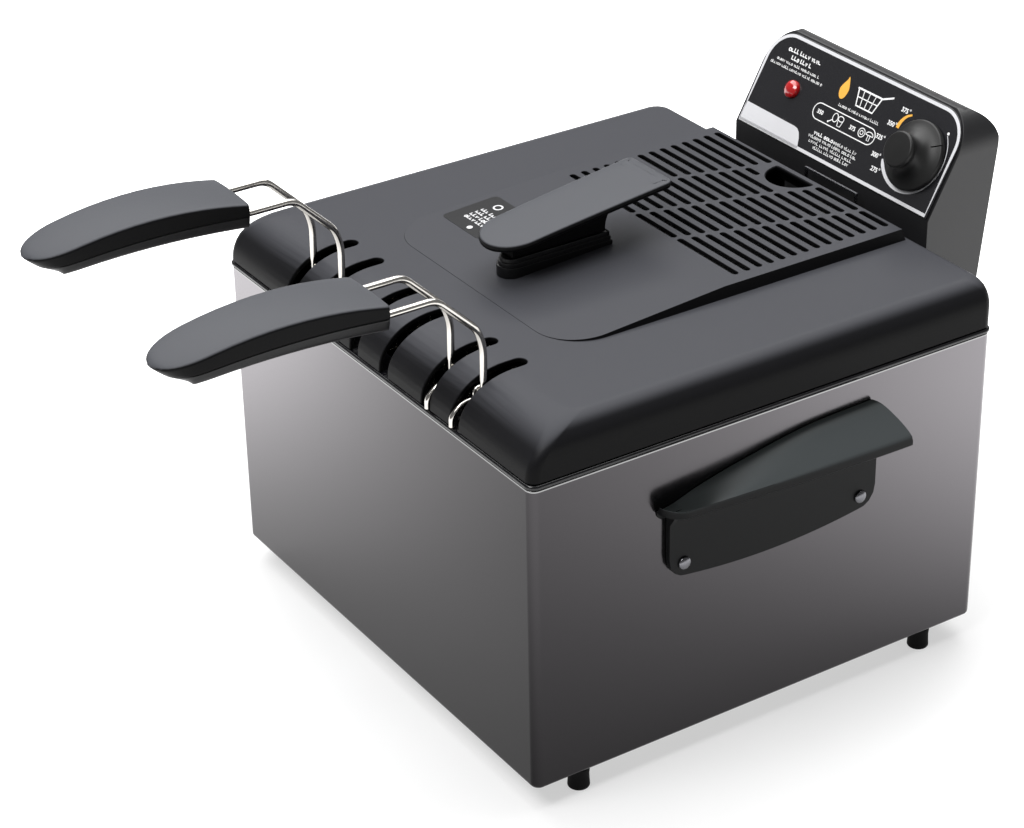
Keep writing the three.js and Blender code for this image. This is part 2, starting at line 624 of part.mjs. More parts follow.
const elementHole = [ELEMENT.low, ELEMENT.high];
const coverScrews = [[-74, 14], [74, 14], [-74, 112], [74, 112]];
function headShell() {
  const cavity = headBlock(HEAD.wall, 6);
  const knobHole = onFace(KNOB.x, KNOB.v, rodZ(0, 0, 3.5, -6, 3));
  const lensHole = onFace(LENS.x, LENS.v, rodZ(0, 0, LENS.radius - 1, -6, 3, 16));
  const strapHole = box(STRAP.low - GAP, STRAP.high + GAP, 145, 160, STRAP.z - GAP, STRAP.z + STRAP.thick + GAP);
  const legs = elementHole.map((x) =>
    rodZ(0, 0, ELEMENT.radius + GAP, 145, 162).rotate([-90, 0, 0]).translate([x, 0, ELEMENT.overZ]));
  return cut(headBlock(0, 0), cavity, knobHole, lensHole, strapHole, ...legs);
}

// Flat cover that closes the back of the head.
function rearCover() {
  const inset = HEAD.wall + GAP;
  const x = HEAD.halfX - inset;
  const plate = prismZ(roundRect(-x, x, HEAD.bottom - REAR.z + inset, 126 - GAP, 3), -3, 0);
  const socket = box(-INLET.halfX - GAP, INLET.halfX + GAP, INLET.v - INLET.halfY - GAP, INLET.v + INLET.halfY + GAP, -4, 2);
  const button = rodZ(-BUTTON.x, BUTTON.v, BUTTON.radius + GAP, -4, 2, 16);
  const holes = coverScrews.map(([sx, v]) => rodZ(sx, v, SCREW.shank + GAP, -4, 2));
  return onRear(0, 0, cut(plate, socket, button, ...holes));
}

function labelPanel() {
  const { halfX, high, corner, thick } = LABEL;
  const s = new THREE.Shape();
  s.moveTo(-halfX, 0);
  s.lineTo(halfX, 0);
  s.lineTo(halfX, high - corner);
  s.absarc(halfX - corner, high - corner, corner, 0, Math.PI / 2);
  s.absarc(-halfX + corner, high - corner, corner, Math.PI / 2, Math.PI);
  s.closePath();
  const plate = prismZ(s, GAP, GAP + thick, 6);
  const knob = rodZ(KNOB.x, KNOB.v, 4, -2, 4, 16);
  const lens = rodZ(LENS.x, LENS.v, LENS.radius + GAP, -2, 4, 16);
  return onFace(0, 0, cut(plate, knob, lens));
}

function lens() {
  const r = LENS.radius;
  const profile = [[0, -5], [r - 1.4, -5], [r - 1.4, GAP], [r, GAP], [r, 2.2], [r * 0.8, 3.6], [r * 0.4, 4.3], [0, 4.5]];
  return onFace(LENS.x, LENS.v, turned(profile, 16));
}

function knob() {
  const { skirt, cap, high } = KNOB;
  const profile = [[0, 1.6], [skirt, 1.6], [skirt, 5], [skirt - 1.6, 6.6], [cap + 2.6, 9], [cap, 12], [cap - 0.6, high - 2.2], [cap - 2.4, high - 0.5], [0, high]];
  const socket = rodZ(0, 0, 3.3, 0, 12);
  return onFace(KNOB.x, KNOB.v, cut(turned(profile, 28), socket));
}

function inletBody() {
  const { halfX, halfY, deep } = INLET;
  const outer = box(-halfX, halfX, -halfY, halfY, -deep - 2, 1);
  const flange = box(-halfX - 2.5, halfX + 2.5, -halfY - 2.5, halfY + 2.5, GAP, 2);
  const well = box(-halfX + 2.5, halfX - 2.5, -halfY + 2.5, halfY - 2.5, -deep, 3);
  const pins = [-7, 7].map((x) => rodZ(x, 0, 1.5 + GAP, -deep - 4, 0));
  return onRear(0, INLET.v, cut(join(outer, flange), well, ...pins));
}

const inletPin = (x) =>
  onRear(0, INLET.v, turned([[0, -INLET.deep - 5], [1.5, -INLET.deep - 5], [1.5, -3.5], [1, -2.5], [0, -2.5]], 10).translate([x, 0, 0]));

function heatingElement() {
  const { radius, z, low, high, legY, overZ, reach, front } = ELEMENT;
  const centre = (low + high) / 2;
  const inner = 53.5;
  const half = [
    [high, 168, overZ], [high, legY, overZ], [high, legY, z], [high, reach, z],
    [centre + 108, reach, z], [centre + 108, front, z], [centre + inner, front, z], [centre + inner, 60, z],
  ];
  const other = half.map(([x, y, h]) => [2 * centre - x, y, h]).reverse();
  return wire([...half, ...other], radius, 9, 6, 2);
}

function elementBracket() {
  const { low, high, z, thick, top } = STRAP;
  const legY = POT.rear - POT.wall - 3;
  const strap = box(low, high, legY - thick, 164, z, z + thick);
  const leg = box(low, high, legY - thick, legY, 62, z + thick);
  const upstand = box(low, high, 148.4, 149.6, z, top);
  const inner = box(low + 1.5, high - 1.5, 147, 151, ELEMENT.overZ - 5, top - 1.5);
  return cut(join(strap, leg, upstand), inner);
}

function thermostat() {
  const body = box(-16, 16, -14, 14, -22, -HEAD.wall - 3);
  return onFace(KNOB.x, KNOB.v, cut(body, rodZ(0, 0, 3.3, -30, 0)));
}

const screwOnRear = ([x, v]) =>
  onRear(0, 0, turned([[0, -9], [SCREW.shank, -9], [SCREW.shank, GAP], [SCREW.head, GAP], [SCREW.head, 1.4], [0, 1.4]], 10).translate([x, v, 0]));

add("head_shell", headShell(), PLASTIC);
add("rear_cover", rearCover(), BLACK);
add("label_panel", labelPanel(), BLACK);
add("indicator_lens", lens(), finish(0xa00a0a, 0.2, 0));
add("neon_lamp", onFace(LENS.x, LENS.v, rodZ(0, 0, 3, -20, -5 - GAP)), finish(0xe0a080, 0.2, 0));
add("thermostat", thermostat(), ZINC);
add("knob_shaft", onFace(KNOB.x, KNOB.v, rodZ(0, 0, 3, -26, 12 - GAP)), ZINC);
add("control_knob", knob(), BLACK);
add("heating_element", heatingElement(), finish(0x4a4846, 0.45, 0.8));
add("element_bracket", elementBracket(), CHROME);
add("power_inlet", inletBody(), BLACK);
[-7, 7].forEach((x, i) => add("inlet_pin_" + (i + 1), inletPin(x), CHROME));
coverScrews.forEach((at, i) => add("cover_screw_" + (i + 1), screwOnRear(at), ZINC));
add("thermal_cutout", onRear(0, 0, rodZ(-BUTTON.x, BUTTON.v, 8, -24, -BUTTON.travel - 4 - GAP, 16)), ZINC);
add("reset_button", onRear(0, 0, rodZ(-BUTTON.x, BUTTON.v, BUTTON.radius, -4, BUTTON.travel + 1.5, 16)), finish(0xa01010, 0.4, 0));

// ---------- baskets ----------
function basket() {
  const { x, halfX, front, rear, low, top, taper, wall } = BASKET;
  const ring = (shrink, z, r) => rectRing(x - halfX + shrink, x + halfX - shrink, front + shrink, rear - shrink, r, z, 4);
  const outer = loft([ring(taper + 3, low, 10), ring(taper, low + 4, 12), ring(0, top, 14)]);
  const inner = loft([ring(taper + 3 + wall, low + wall, 9), ring(taper + wall, low + 4 + wall, 10), ring(wall, top + 1, 12)]);
  return cut(outer, inner);
}

// Two hook wires on the front of the basket, with an eye each for the handle's pins.
function basketHanger() {
  const { radius, half, eye, hole } = HANGER;
  const { pivotY, pivotZ } = WIRE;
  const y = BASKET.front - GAP - radius - 0.2;
  const hookY = -BODY.halfY;
  const parts = [-1, 1].flatMap((s) => {
    const x = BASKET.x + s * half;
    const hook = wire([[x, y, 112], [x, y, 196], [x, pivotY, pivotZ + 2.2], [x, -139, 202], [x, hookY, 197], [x, hookY, RIM.top + GAP]], radius, 4, 6, 2);
    return [hook, rodX(pivotY, pivotZ, eye, x - radius, x + radius, 12)];
  });
  const bars = [114, 150].map((z) => rodX(y, z, radius, BASKET.x - half, BASKET.x + half, 6));
  const bore = rodX(pivotY, pivotZ, hole, BASKET.x - half - 5, BASKET.x + half + 5, 10);
  return cut(join(...parts, ...bars), bore);
}

// Bent wire loop of the basket handle: its ends turn inwards as the pivot pins.
function handleWire(radius = WIRE.radius) {
  const { half, exitZ, pivotY, pivotZ } = WIRE;
  const side = [
    [half - 5.4, pivotY, pivotZ], [half, pivotY, pivotZ], [half, -127, 232.5], [half, -130.1, 242.8],
    [half, -153.3, exitZ], [half, -214, exitZ],
  ];
  const points = [...side, ...side.map(([x, y, z]) => [-x, y, z]).reverse()];
  return wire(points.map(([x, y, z]) => [x + BASKET.x, y, z]), radius, 5, 6, 2);
}

// Height of the grip's top, seam and underside along its length, t = 0 at the rear, 1 at the tip.
const gripTop = (t) => 272.3 + 27 * t - 31 * t * t;
const gripSeam = (t) => WIRE.exitZ + 13 * t - 15.5 * t * t;
const gripTipRise = (t) => Math.max(0, t - 0.9) * 34;
const gripBottom = (t) => 258.2 + 14 * t - 15 * t * t + gripTipRise(t);
const gripHalf = (t) => {
  const nose = Math.max(0, (t - 0.78) / 0.22) ** 2.4;
  return GRIP.half * (1 - 0.17 * t ** 1.7) * Math.max(0, 1 - nose) ** (1 / 2.4);
};

function gripPart(lowAt, highAt, topRound) {
  const stations = [0, 0.15, 0.3, 0.45, 0.6, 0.75, 0.86, 0.93, 0.975, 1];
  const rings = stations.map((t) => {
    const y = GRIP.rear + (GRIP.tip - GRIP.rear) * t;
    const h = Math.max(gripHalf(t), 3);
    const [low, high] = [lowAt(t), highAt(t)];
    const edge = topRound ? high - 2.2 : low + Math.min(3, (high - low) * 0.6);
    const outline = topRound
      ? [[-h, low], [-h, edge], [-h + 1.6, high - 0.4], [0, high + 0.5], [h - 1.6, high - 0.4], [h, edge], [h, low]]
      : [[-h, high], [h, high], [h, edge], [h - 2.6, low], [-h + 2.6, low], [-h, edge]];
    return outline.map(([x, z]) => new THREE.Vector3(BASKET.x + x, y, z));
  });
  return loft(rings.map((r) => r.slice().reverse()));
}

// The wire's channel and the screw's hole through both grip halves.
const gripHoles = () => [handleWire(WIRE.radius + GAP), rodZ(BASKET.x, GRIP.screwY, SCREW.shank + GAP, 250, 275, 8)];

const gripTopShell = () => cut(gripPart((t) => gripSeam(t) + GAP / 2, gripTop, true), ...gripHoles());
const gripLowerShell = () => {
  const recess = rodZ(BASKET.x, GRIP.screwY, SCREW.head + GAP, 250, GRIP.recess);
  return cut(gripPart(gripBottom, (t) => gripSeam(t) - GAP / 2, false), ...gripHoles(), recess);
};
const gripScrew = () => screw(BASKET.x, GRIP.screwY, GRIP.recess - GAP - SCREW.headHigh, 8.5);

for (const [side, sign] of [["right", 1], ["left", -1]]) {
  const place = (solid) => (sign > 0 ? solid : solid.mirror([1, 0, 0]));
  add("basket_" + side, place(basket()), CHROME);
  add("basket_hanger_" + side, place(basketHanger()), CHROME);
  add("handle_wire_" + side, place(handleWire()), CHROME);
  add("handle_grip_top_" + side, place(gripTopShell()), PLASTIC);
  add("handle_grip_lower_" + side, place(gripLowerShell()), BLACK);
  add("handle_screw_" + side, place(gripScrew()), ZINC);
}

export default fryer;
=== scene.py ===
"""Looks of a dual-basket immersion deep fryer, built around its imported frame.

Shapes are drawn in millimetres about the middle of the housing's footprint, with +Z up and the
basket handles towards -Y, and are carried into the row frame by to_row.
"""
import json
import math
import random

import bmesh
import bpy
from mathutils import Matrix, Vector

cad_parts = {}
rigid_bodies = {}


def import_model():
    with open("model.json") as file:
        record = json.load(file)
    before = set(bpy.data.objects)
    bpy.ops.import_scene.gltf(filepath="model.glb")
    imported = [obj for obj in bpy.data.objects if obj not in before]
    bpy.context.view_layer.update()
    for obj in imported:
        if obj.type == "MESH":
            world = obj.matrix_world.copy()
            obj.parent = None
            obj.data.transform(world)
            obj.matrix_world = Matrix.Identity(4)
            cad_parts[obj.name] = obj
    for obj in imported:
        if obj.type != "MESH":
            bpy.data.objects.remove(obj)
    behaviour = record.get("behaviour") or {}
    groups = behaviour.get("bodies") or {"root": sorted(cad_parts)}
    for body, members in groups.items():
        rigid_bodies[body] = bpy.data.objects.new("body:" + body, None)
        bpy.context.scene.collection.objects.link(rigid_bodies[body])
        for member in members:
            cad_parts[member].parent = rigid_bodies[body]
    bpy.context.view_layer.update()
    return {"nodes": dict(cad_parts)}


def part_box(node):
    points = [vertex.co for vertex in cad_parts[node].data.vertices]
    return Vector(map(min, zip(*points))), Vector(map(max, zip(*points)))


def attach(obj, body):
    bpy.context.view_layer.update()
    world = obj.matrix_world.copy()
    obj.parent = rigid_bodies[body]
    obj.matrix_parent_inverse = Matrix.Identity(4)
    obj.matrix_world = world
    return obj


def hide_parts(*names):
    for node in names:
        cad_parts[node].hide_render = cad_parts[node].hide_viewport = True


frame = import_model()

# ---------- driving dimensions, in millimetres ----------
MM = 0.001
HOUSING_LOW, HOUSING_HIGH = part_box("housing_shell")
HOUSING_Y = (HOUSING_LOW.y + HOUSING_HIGH.y) / 2 / MM
HALF_X, HALF_Y, CORNER, SHEET = 150.8, 144.2, 5.0, 1.2
FLOOR_GAP, WALL_TOP = 13.0, 188.0
FLANGE = 18.0

RIM_LOW, RIM_TOP, RIM_PROUD = 188.3, 191.0, 0.8
POT_HALF, POT_FRONT, POT_REAR, POT_CORNER, POT_WALL, POT_FLOOR = 136.0, -130.0, 138.0, 26.0, 1.6, 36.0

LID_LOW, LID_TOP, LID_WALL, LID_CORNER = 191.3, 217.0, 2.2, 5.5
LID_FRONT_HIGH, LID_FRONT_DEEP, LID_SIDE_ROUND, LID_REAR_ROUND = 24.0, 33.0, 13.4, 5.0
PLATEAU_HALF, PLATEAU_FRONT, PLATEAU_REAR, PLATEAU_TOP = 86.0, -81.0, 140.5, 223.0
RAMP_LOW, RAMP_END, PLATEAU_CORNER = 217.2, 20.0, 26.0
SLOT_HALF, SLOT_END, SLOTS_X = 4.0, -101.3, (14.9, 55.6, 82.3)
VENT_ROWS, VENT_FIRST, VENT_PITCH, VENT_HALF_X, VENT_HALF_Y = 14, 33.4, 7.7, 76.0, 1.65
VENT_RIB, VENT_RIBS, VENT_RIB_STEP = 3.0, (-38.0, 0.0, 38.0), 2.2
MOON_X, MOON_RADIUS, MOON_CHORD, MOON_DEEP, MOON_MARGIN = -3.5, 15.8, 134.0, 16.6, 4.0
NOTCH_LOW, NOTCH_HIGH, NOTCH_TOP = -25.0, 42.0, 214.0
FILTER_HALF, FILTER_FRONT, FILTER_REAR, SCREEN_Z = 77.5, 28.0, 134.0, 219.4
PAD_REAR, PAD_DEEP, PAD_COLUMNS, PAD_ROWS = 121.0, 8.0, 40, 26
LID_SCREWS_Y, LID_SCREW_HOLE = (-48.0, -14.0), 1.8

GRIP_NOSE, GRIP_REAR, GRIP_NOSE_HALF, GRIP_REAR_HALF = -72.5, 34.0, 18.5, 20.0
GRIP_LOW, GRIP_HIGH, GRIP_THICK, WEB_REAR, WEB_BEND = 240.8, 255.3, 3.6, 12.0, 240.0
PEDESTAL_FRONT, PEDESTAL_REAR, PEDESTAL_HALF, TIER, TIERS = -64.0, 3.0, 8.0, 2.6, 3

BASKET_X, BASKET_HALF, BASKET_FRONT, BASKET_REAR = 68.95, 60.0, -119.5, 108.0
BASKET_LOW, BASKET_TOP, BASKET_TAPER = 62.0, 160.0, 6.0
WIRE_R, WIRE_HALF, WIRE_EXIT_Z, PIVOT_Y, PIVOT_Z = 1.9, 15.05, 265.4, -127.5, 205.8
HANGER_R, HANGER_HALF, EYE_R = 1.4, 11.35, 4.6
HOLD_REAR, HOLD_TIP, HOLD_HALF, HOLD_SCREW_Y, HOLD_RECESS = -180.5, -297.0, 20.0, -232.0, 264.8

SIDE_FRONT, SIDE_REAR, SIDE_LOW, SIDE_BOW, SIDE_PLATE = -65.0, 66.5, 108.3, 0.0013, 3.2
HOOD_FRONT, HOOD_REAR, HOOD_END, HOOD_TAPER, HOOD_FLARE = -60.0, 64.0, 11.0, 7.0, 11.0
LIP_X, LIP_TOP, LIP_THICK = 172.0, 156.5, 4.5
RIVETS_Y, RIVET_Z, RIVET_DOME = (-56.0, 56.5), 119.8, 3.6

HEAD_HALF, HEAD_WALL, HEAD_LOW, FACE_Y, FACE_Z = 84.6, 2.4, 118.0, 155.0, 223.5
FACE_TILT, FACE_LONG = math.radians(29.2), 59.7
CROWN_Y, CROWN_Z, CROWN_R, CROWN_TOP, CROWN_CORNER = 184.6, 258.0, 18.0, 277.0, 22.0
REAR_Y, REAR_Z, REAR_TILT = 185.4, 120.0, math.radians(6.9)
LABEL_HALF, LABEL_HIGH, LABEL_CORNER, LABEL_THICK = 83.0, 59.0, 19.0, 0.7
DIAL_X, DIAL_V, DIAL_SKIRT, DIAL_CAP, DIAL_HIGH, DIAL_TURN = 58.7, 27.8, 19.8, 10.3, 18.5, math.radians(35)
SHAFT_HOLE, STRAP_X, STRAP_Z = 3.6, (-13.4, 32.8), (195.4, 197.8)
LENS_X, LENS_V, LENS_R = -51.0, 29.6, 5.3
INLET_HALF_X, INLET_HALF_Y, INLET_DEEP, INLET_V = 17.0, 10.0, 15.0, 32.0
BUTTON_X, BUTTON_V, BUTTON_R, BUTTON_TRAVEL = -45.0, 62.0, 4.5, 2.0
ELEMENT_R, ELEMENT_Z, ELEMENT_LEGS, ELEMENT_OVER = 3.5, 50.0, (2.0, 15.0), 203.0
FOOT_X, FOOT_Y, FOOT_R = 143.3, 113.0, 5.9
SCREW_HEAD, SCREW_HIGH = 3.0, 1.1
GAP = 0.3
TINY = 1e-4


# ---------- shapes: a list of points and a list of faces ----------
def to_row(point):
    """A point in millimetres about the housing, as metres in the row frame."""
    return Vector((point[0], point[1] + HOUSING_Y, point[2])) * MM


def ellipse(cu, cv, ru, rv, start, end, steps):
    """Points on an ellipse's arc, angles in degrees."""
    turns = [math.radians(start + (end - start) * k / steps) for k in range(steps + 1)]
    return [(cu + ru * math.cos(a), cv + rv * math.sin(a)) for a in turns]


def arc(cu, cv, radius, start, end, steps):
    return ellipse(cu, cv, radius, radius, start, end, steps)


def rect_plan(x0, x1, y0, y1, radius, steps=8):
    """Rounded rectangle as an outline of 4 * (steps + 1) points."""
    r = max(radius, 0.4)
    corners = ((x1 - r, y1 - r, 0), (x0 + r, y1 - r, 90), (x0 + r, y0 + r, 180), (x1 - r, y0 + r, 270))
    return [p for cx, cy, turn in corners for p in arc(cx, cy, r, turn, turn + 90, steps)]


def rect_loop(x0, x1, y0, y1, radius, z, steps=8):
    return [(x, y, z) for x, y in rect_plan(x0, x1, y0, y1, radius, steps)]


def arch_plan(half, low, top, bend, steps):
    """Rectangle whose two upper corners are round."""
    right = arc(half - bend, top - bend, bend, 0, 90, steps)
    return [(-half, low), (half, low)] + right + arc(-half + bend, top - bend, bend, 90, 180, steps)


def merged(*shapes):
    points, faces = [], []
    for more_points, more_faces in shapes:
        base = len(points)
        points += more_points
        faces += [tuple(base + i for i in face) for face in more_faces]
    return points, faces


def moved(shape, function):
    return [tuple(function(*p)) for p in shape[0]], shape[1]


def shifted(shape, dx=0.0, dy=0.0, dz=0.0):
    return moved(shape, lambda x, y, z: (x + dx, y + dy, z + dz))


def upturned(shape, x0, y0, z0):
    """The shape turned upside down, its origin carried to (x0, y0, z0)."""
    return moved(shape, lambda x, y, z: (x + x0, y0 - y, z0 - z))


def mirrored(shape):
    return [(-x, y, z) for x, y, z in shape[0]], [tuple(reversed(f)) for f in shape[1]]


def skin(rings, around=False, caps=(True, True), ladder=False):
    """A surface over loops of equal count. A ladder cap pairs a loop's two sides across its middle."""
    n = len(rings[0])
    points = [tuple(p) for ring in rings for p in ring]
    faces = []
    for k in range(len(rings) if around else len(rings) - 1):
        a, b = k * n, (k + 1) % len(rings) * n
        faces += [(a + i, a + (i + 1) % n, b + (i + 1) % n, b + i) for i in range(n)]
    ends = [] if around else [base for base, wanted in zip((0, (len(rings) - 1) * n), caps) if wanted]
    for base in ends:
        if ladder:
            faces += [(base + i, base + i + 1, base + n - 2 - i, base + n - 1 - i)
                      for i in range(n // 2 - 1)]
        else:
            faces.append(tuple(range(base, base + n)))
    return points, faces


def lathe(profile, sides=40):
    """Turned about Z from (radius, height) pairs."""
    turns = [2 * math.pi * k / sides for k in range(sides)]
    rings = [[(r * math.cos(a), r * math.sin(a), z) for a in turns] for r, z in profile]
    return skin(rings, caps=(profile[0][0] > TINY, profile[-1][0] > TINY))


def plug(radius, low, high, sides=24):
    """A plain cylinder about Z."""
    return lathe([(0, low), (radius, low), (radius, high), (0, high)], sides)


def rounded(points, bend, steps=6, closed=False):
    """A path whose corners are eased by curves that reach at most bend along each run."""
    at = [Vector(p) for p in points]
    count = len(at)
    line = [] if closed else [at[0]]
    for i in range(0 if closed else 1, count if closed else count - 1):
        before, after = at[i - 1] - at[i], at[(i + 1) % count] - at[i]
        reach = min(bend, before.length * 0.45, after.length * 0.45)
        start, end = at[i] + before.normalized() * reach, at[i] + after.normalized() * reach
        for k in range(steps + 1):
            t = k / steps
            line.append(start * (1 - t) ** 2 + at[i] * 2 * t * (1 - t) + end * t * t)
    return line if closed else line + [at[-1]]


def tube(path, radius, sides=12, closed=False):
    """A round rod along a path, with rounded tips when it isn't a loop."""
    line = [Vector(p) for p in path]
    count = len(line)

    def heading(i):
        ahead = line[(i + 1) % count] if closed else line[min(i + 1, count - 1)]
        behind = line[i - 1] if closed else line[max(i - 1, 0)]
        return (ahead - behind).normalized()

    tangent = heading(0)
    side = tangent.orthogonal().normalized()
    rings = []
    for i in range(count):
        turn = tangent.rotation_difference(heading(i))
        side = turn @ side
        tangent = heading(i)
        other = tangent.cross(side)
        rings.append((line[i], tangent.copy(), side.copy(), other))
    if not closed:
        first, last = rings[0], rings[-1]
        tip = radius * 0.4
        rings = [(first[0] - first[1] * tip, *first[1:], 0.55)] + [(*r, 1) for r in rings]
        rings.append((last[0] + last[1] * tip, *last[1:], 0.55))
    else:
        rings = [(*r, 1) for r in rings]
    turns = [2 * math.pi * k / sides for k in range(sides)]
    loops = [
        [c + (u * math.cos(a) + w * math.sin(a)) * radius * grow for a in turns]
        for c, _, u, w, grow in rings
    ]
    return skin(loops, around=closed)


def prism(outline, low, high):
    """A flat outline of (x, y) pairs raised from low to high."""
    return skin([[(x, y, z) for x, y in outline] for z in (low, high)])


def prism_x(outline, x0, x1):
    """An outline of (y, z) pairs carried along X."""
    return skin([[(x, y, z) for y, z in outline] for x in (x0, x1)])


def prism_y(outline, y0, y1):
    """An outline of (x, z) pairs carried along Y."""
    return skin([[(x, y, z) for x, z in outline] for y in (y0, y1)])


def block(x0, x1, y0, y1, z0, z1):
    return prism([(x0, y0), (x1, y0), (x1, y1), (x0, y1)], z0, z1)


def offset(outline, inset):
    """A closed anticlockwise outline of (x, y) pairs moved inwards."""
    result = []
    count = len(outline)
    for i in range(count):
        (ax, ay), (bx, by), (cx, cy) = outline[i - 1], outline[i], outline[(i + 1) % count]
        first, second = Vector((bx - ax, by - ay)), Vector((cx - bx, cy - by))
        if first.length < TINY or second.length < TINY:
            first = second = first + second
        n1 = Vector((-first.y, first.x)).normalized()
        n2 = Vector((-second.y, second.x)).normalized()
        middle = (n1 + n2).normalized()
        miter = inset / max(middle.dot(n1), 0.5)
        result.append((bx + middle.x * miter, by + middle.y * miter))
    return result


def slab(outline, layers, height=lambda x, y: 0.0, ladder=False):
    """Layers of (inset, rise) over an outline: each loop is inset and lies rise above height(x, y)."""
    rings = []
    for inset, rise in layers:
        loop = offset(outline, inset)
        rings.append([(x, y, height(x, y) + (rise(x, y) if callable(rise) else rise)) for x, y in loop])
    return skin(rings, ladder=ladder)


def added(name, data):
    """A new object in the scene."""
    made = bpy.data.objects.new(name, data)
    bpy.context.scene.collection.objects.link(made)
    return made


def scratch(shape):
    mesh = bpy.data.meshes.new("scratch")
    mesh.from_pydata([tuple(p) for p in shape[0]], [], shape[1])
    tidy_mesh(mesh)
    return added("scratch", mesh)


def tidy_mesh(mesh, nearness=0.001):
    """Joins points nearer than nearness, drops what is left without area and turns faces outwards."""
    work = bmesh.new()
    work.from_mesh(mesh)
    bmesh.ops.remove_doubles(work, verts=work.verts, dist=nearness)
    bmesh.ops.dissolve_degenerate(work, edges=work.edges, dist=nearness / 2)
    bmesh.ops.recalc_face_normals(work, faces=work.faces)
    work.to_mesh(mesh)
    work.free()


def evaluated(made):
    """The made object's mesh with its modifiers applied, as a shape. The object is deleted."""
    graph = bpy.context.evaluated_depsgraph_get()
    mesh = made.evaluated_get(graph).to_mesh()
    shape = [tuple(v.co) for v in mesh.vertices], [tuple(p.vertices) for p in mesh.polygons]
    made.evaluated_get(graph).to_mesh_clear()
    bpy.data.objects.remove(made)
    if not shape[1]:
        raise RuntimeError("a cut left nothing")
    return shape


def carve(shape, *tools, how="DIFFERENCE"):
    """Cuts, joins or intersects a closed shape with closed tools that don't touch each other."""
    body, tool = scratch(shape), scratch(merged(*tools))
    change = body.modifiers.new("carve", "BOOLEAN")
    change.operation = how
    change.solver = "MANIFOLD"
    change.object = tool
    result = evaluated(body)
    bpy.data.objects.remove(tool)
    return result


def softened(shape, width, angle=30, segments=3):
    """The shape with its edges sharper than angle rounded off."""
    made = scratch(shape)
    bevel = made.modifiers.new("soften", "BEVEL")
    bevel.width = width
    bevel.segments = segments
    bevel.angle_limit = math.radians(angle)
    return evaluated(made)


def piece(name, shape, body, finish, stands_for=(), sharp=32):
    """Puts a finished shape in the scene on its CAD body, in place of the CAD nodes it stands for."""
    mesh = bpy.data.meshes.new(name)
    mesh.from_pydata([to_row(p) for p in shape[0]], [], shape[1])
    tidy_mesh(mesh, nearness=0.001 * MM)
    work = bmesh.new()
    work.from_mesh(mesh)
    for edge in work.edges:
        edge.smooth = edge.calc_face_angle(0) < math.radians(sharp)
    for face in work.faces:
        face.smooth = True
    work.to_mesh(mesh)
    work.free()
    mesh.materials.append(finish)
    made = added(name, mesh)
    even = made.modifiers.new("even_shading", "WEIGHTED_NORMAL")
    even.keep_sharp = True
    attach(made, body)
    if stands_for:
        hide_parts(*stands_for)


def keep(cad_node, finish, bevel=0.0):
    """Leaves a CAD node showing, with its own material, smooth round faces and softened edges."""
    made = frame["nodes"][cad_node]
    made.data.materials.clear()
    made.data.materials.append(finish)
    made.data.polygons.foreach_set("use_smooth", [True] * len(made.data.polygons))
    weld = made.modifiers.new("weld", "WELD")
    weld.merge_threshold = 0.00001
    if bevel:
        edge = made.modifiers.new("soft_edges", "BEVEL")
        edge.width = bevel * MM
        edge.segments = 2
        edge.angle_limit = math.radians(40)
        edge.harden_normals = True
    made.modifiers.new("even_shading", "WEIGHTED_NORMAL")


# ---------- materials ----------
def node(made, kind, output, inputs=None, **settings):
    """Adds a node to a finish and gives the named output, or all of them when output is None.

    inputs holds plain values and other nodes' outputs, by the name or number of the socket.
    """
    new = made.node_tree.nodes.new("ShaderNode" + kind)
    for name, value in settings.items():
        setattr(new, name, value)
    for socket, value in (inputs or {}).items():
        if isinstance(value, bpy.types.NodeSocket):
            made.node_tree.links.new(value, new.inputs[socket])
        else:
            new.inputs[socket].default_value = value
    return new.outputs if output is None else new.outputs[output]


def feed(made, socket, value):
    """Links an output into the finish's shader."""
    made.node_tree.links.new(value, made.node_tree.nodes["Principled BSDF"].inputs[socket])


def look(name, color, roughness, vary, metallic=0.0, streak=(1, 1, 1), **sockets):
    """A procedural finish.

    vary holds the strength of the grain in the bump, the grain's size in mm, the cloudy mottle in the colour
    and the spread in the roughness. streak stretches the noise along x, y and z.
    """
    grain, grain_mm, mottle, spread = vary
    made = bpy.data.materials.new(name)
    made.use_nodes = True
    for socket, value in {"Metallic": metallic, **sockets}.items():
        made.node_tree.nodes["Principled BSDF"].inputs[socket.replace("_", " ")].default_value = value
    place = node(made, "Mapping", "Vector", {"Scale": streak, "Vector": node(made, "TexCoord", "Object")})

    def noise(scale, detail):
        return node(made, "TexNoise", "Fac", {"Scale": scale, "Detail": detail, "Vector": place})

    def spanned(source, low, high):
        limits = {"From Min": 0.3, "From Max": 0.7, "To Min": low, "To Max": high}
        return node(made, "MapRange", "Result", {**limits, "Value": source})

    dark, light = ((*[min(1, c * (1 + change)) for c in color], 1) for change in (-mottle, mottle))
    clouds = spanned(noise(CLOUD_SCALE, 4), 0, 1)
    feed(made, "Base Color", node(made, "Mix", "Result", {"A": dark, "B": light, "Factor": clouds},
                                  data_type="RGBA"))
    fine = noise(1 / (grain_mm * MM), 2)
    feed(made, "Roughness", spanned(fine, roughness - spread, roughness + spread))
    if grain:
        feed(made, "Normal", node(made, "Bump", "Normal",
                                  {"Strength": grain, "Distance": 0.1 * MM, "Height": fine}))
    return made


def gradient(made, value, stops, interpolation):
    """A colour ramp fed by value, with stops of (place from 0 to 1, colour)."""
    ramp = made.node_tree.nodes.new("ShaderNodeValToRGB")
    ramp.color_ramp.interpolation = interpolation
    elements = ramp.color_ramp.elements
    while len(elements) < len(stops):
        elements.new(0.5)
    for element, (at, color) in zip(elements, stops):
        element.position = at
        element.color = (*color, 1)
    made.node_tree.links.new(value, ramp.inputs["Fac"])
    return ramp.outputs["Color"]


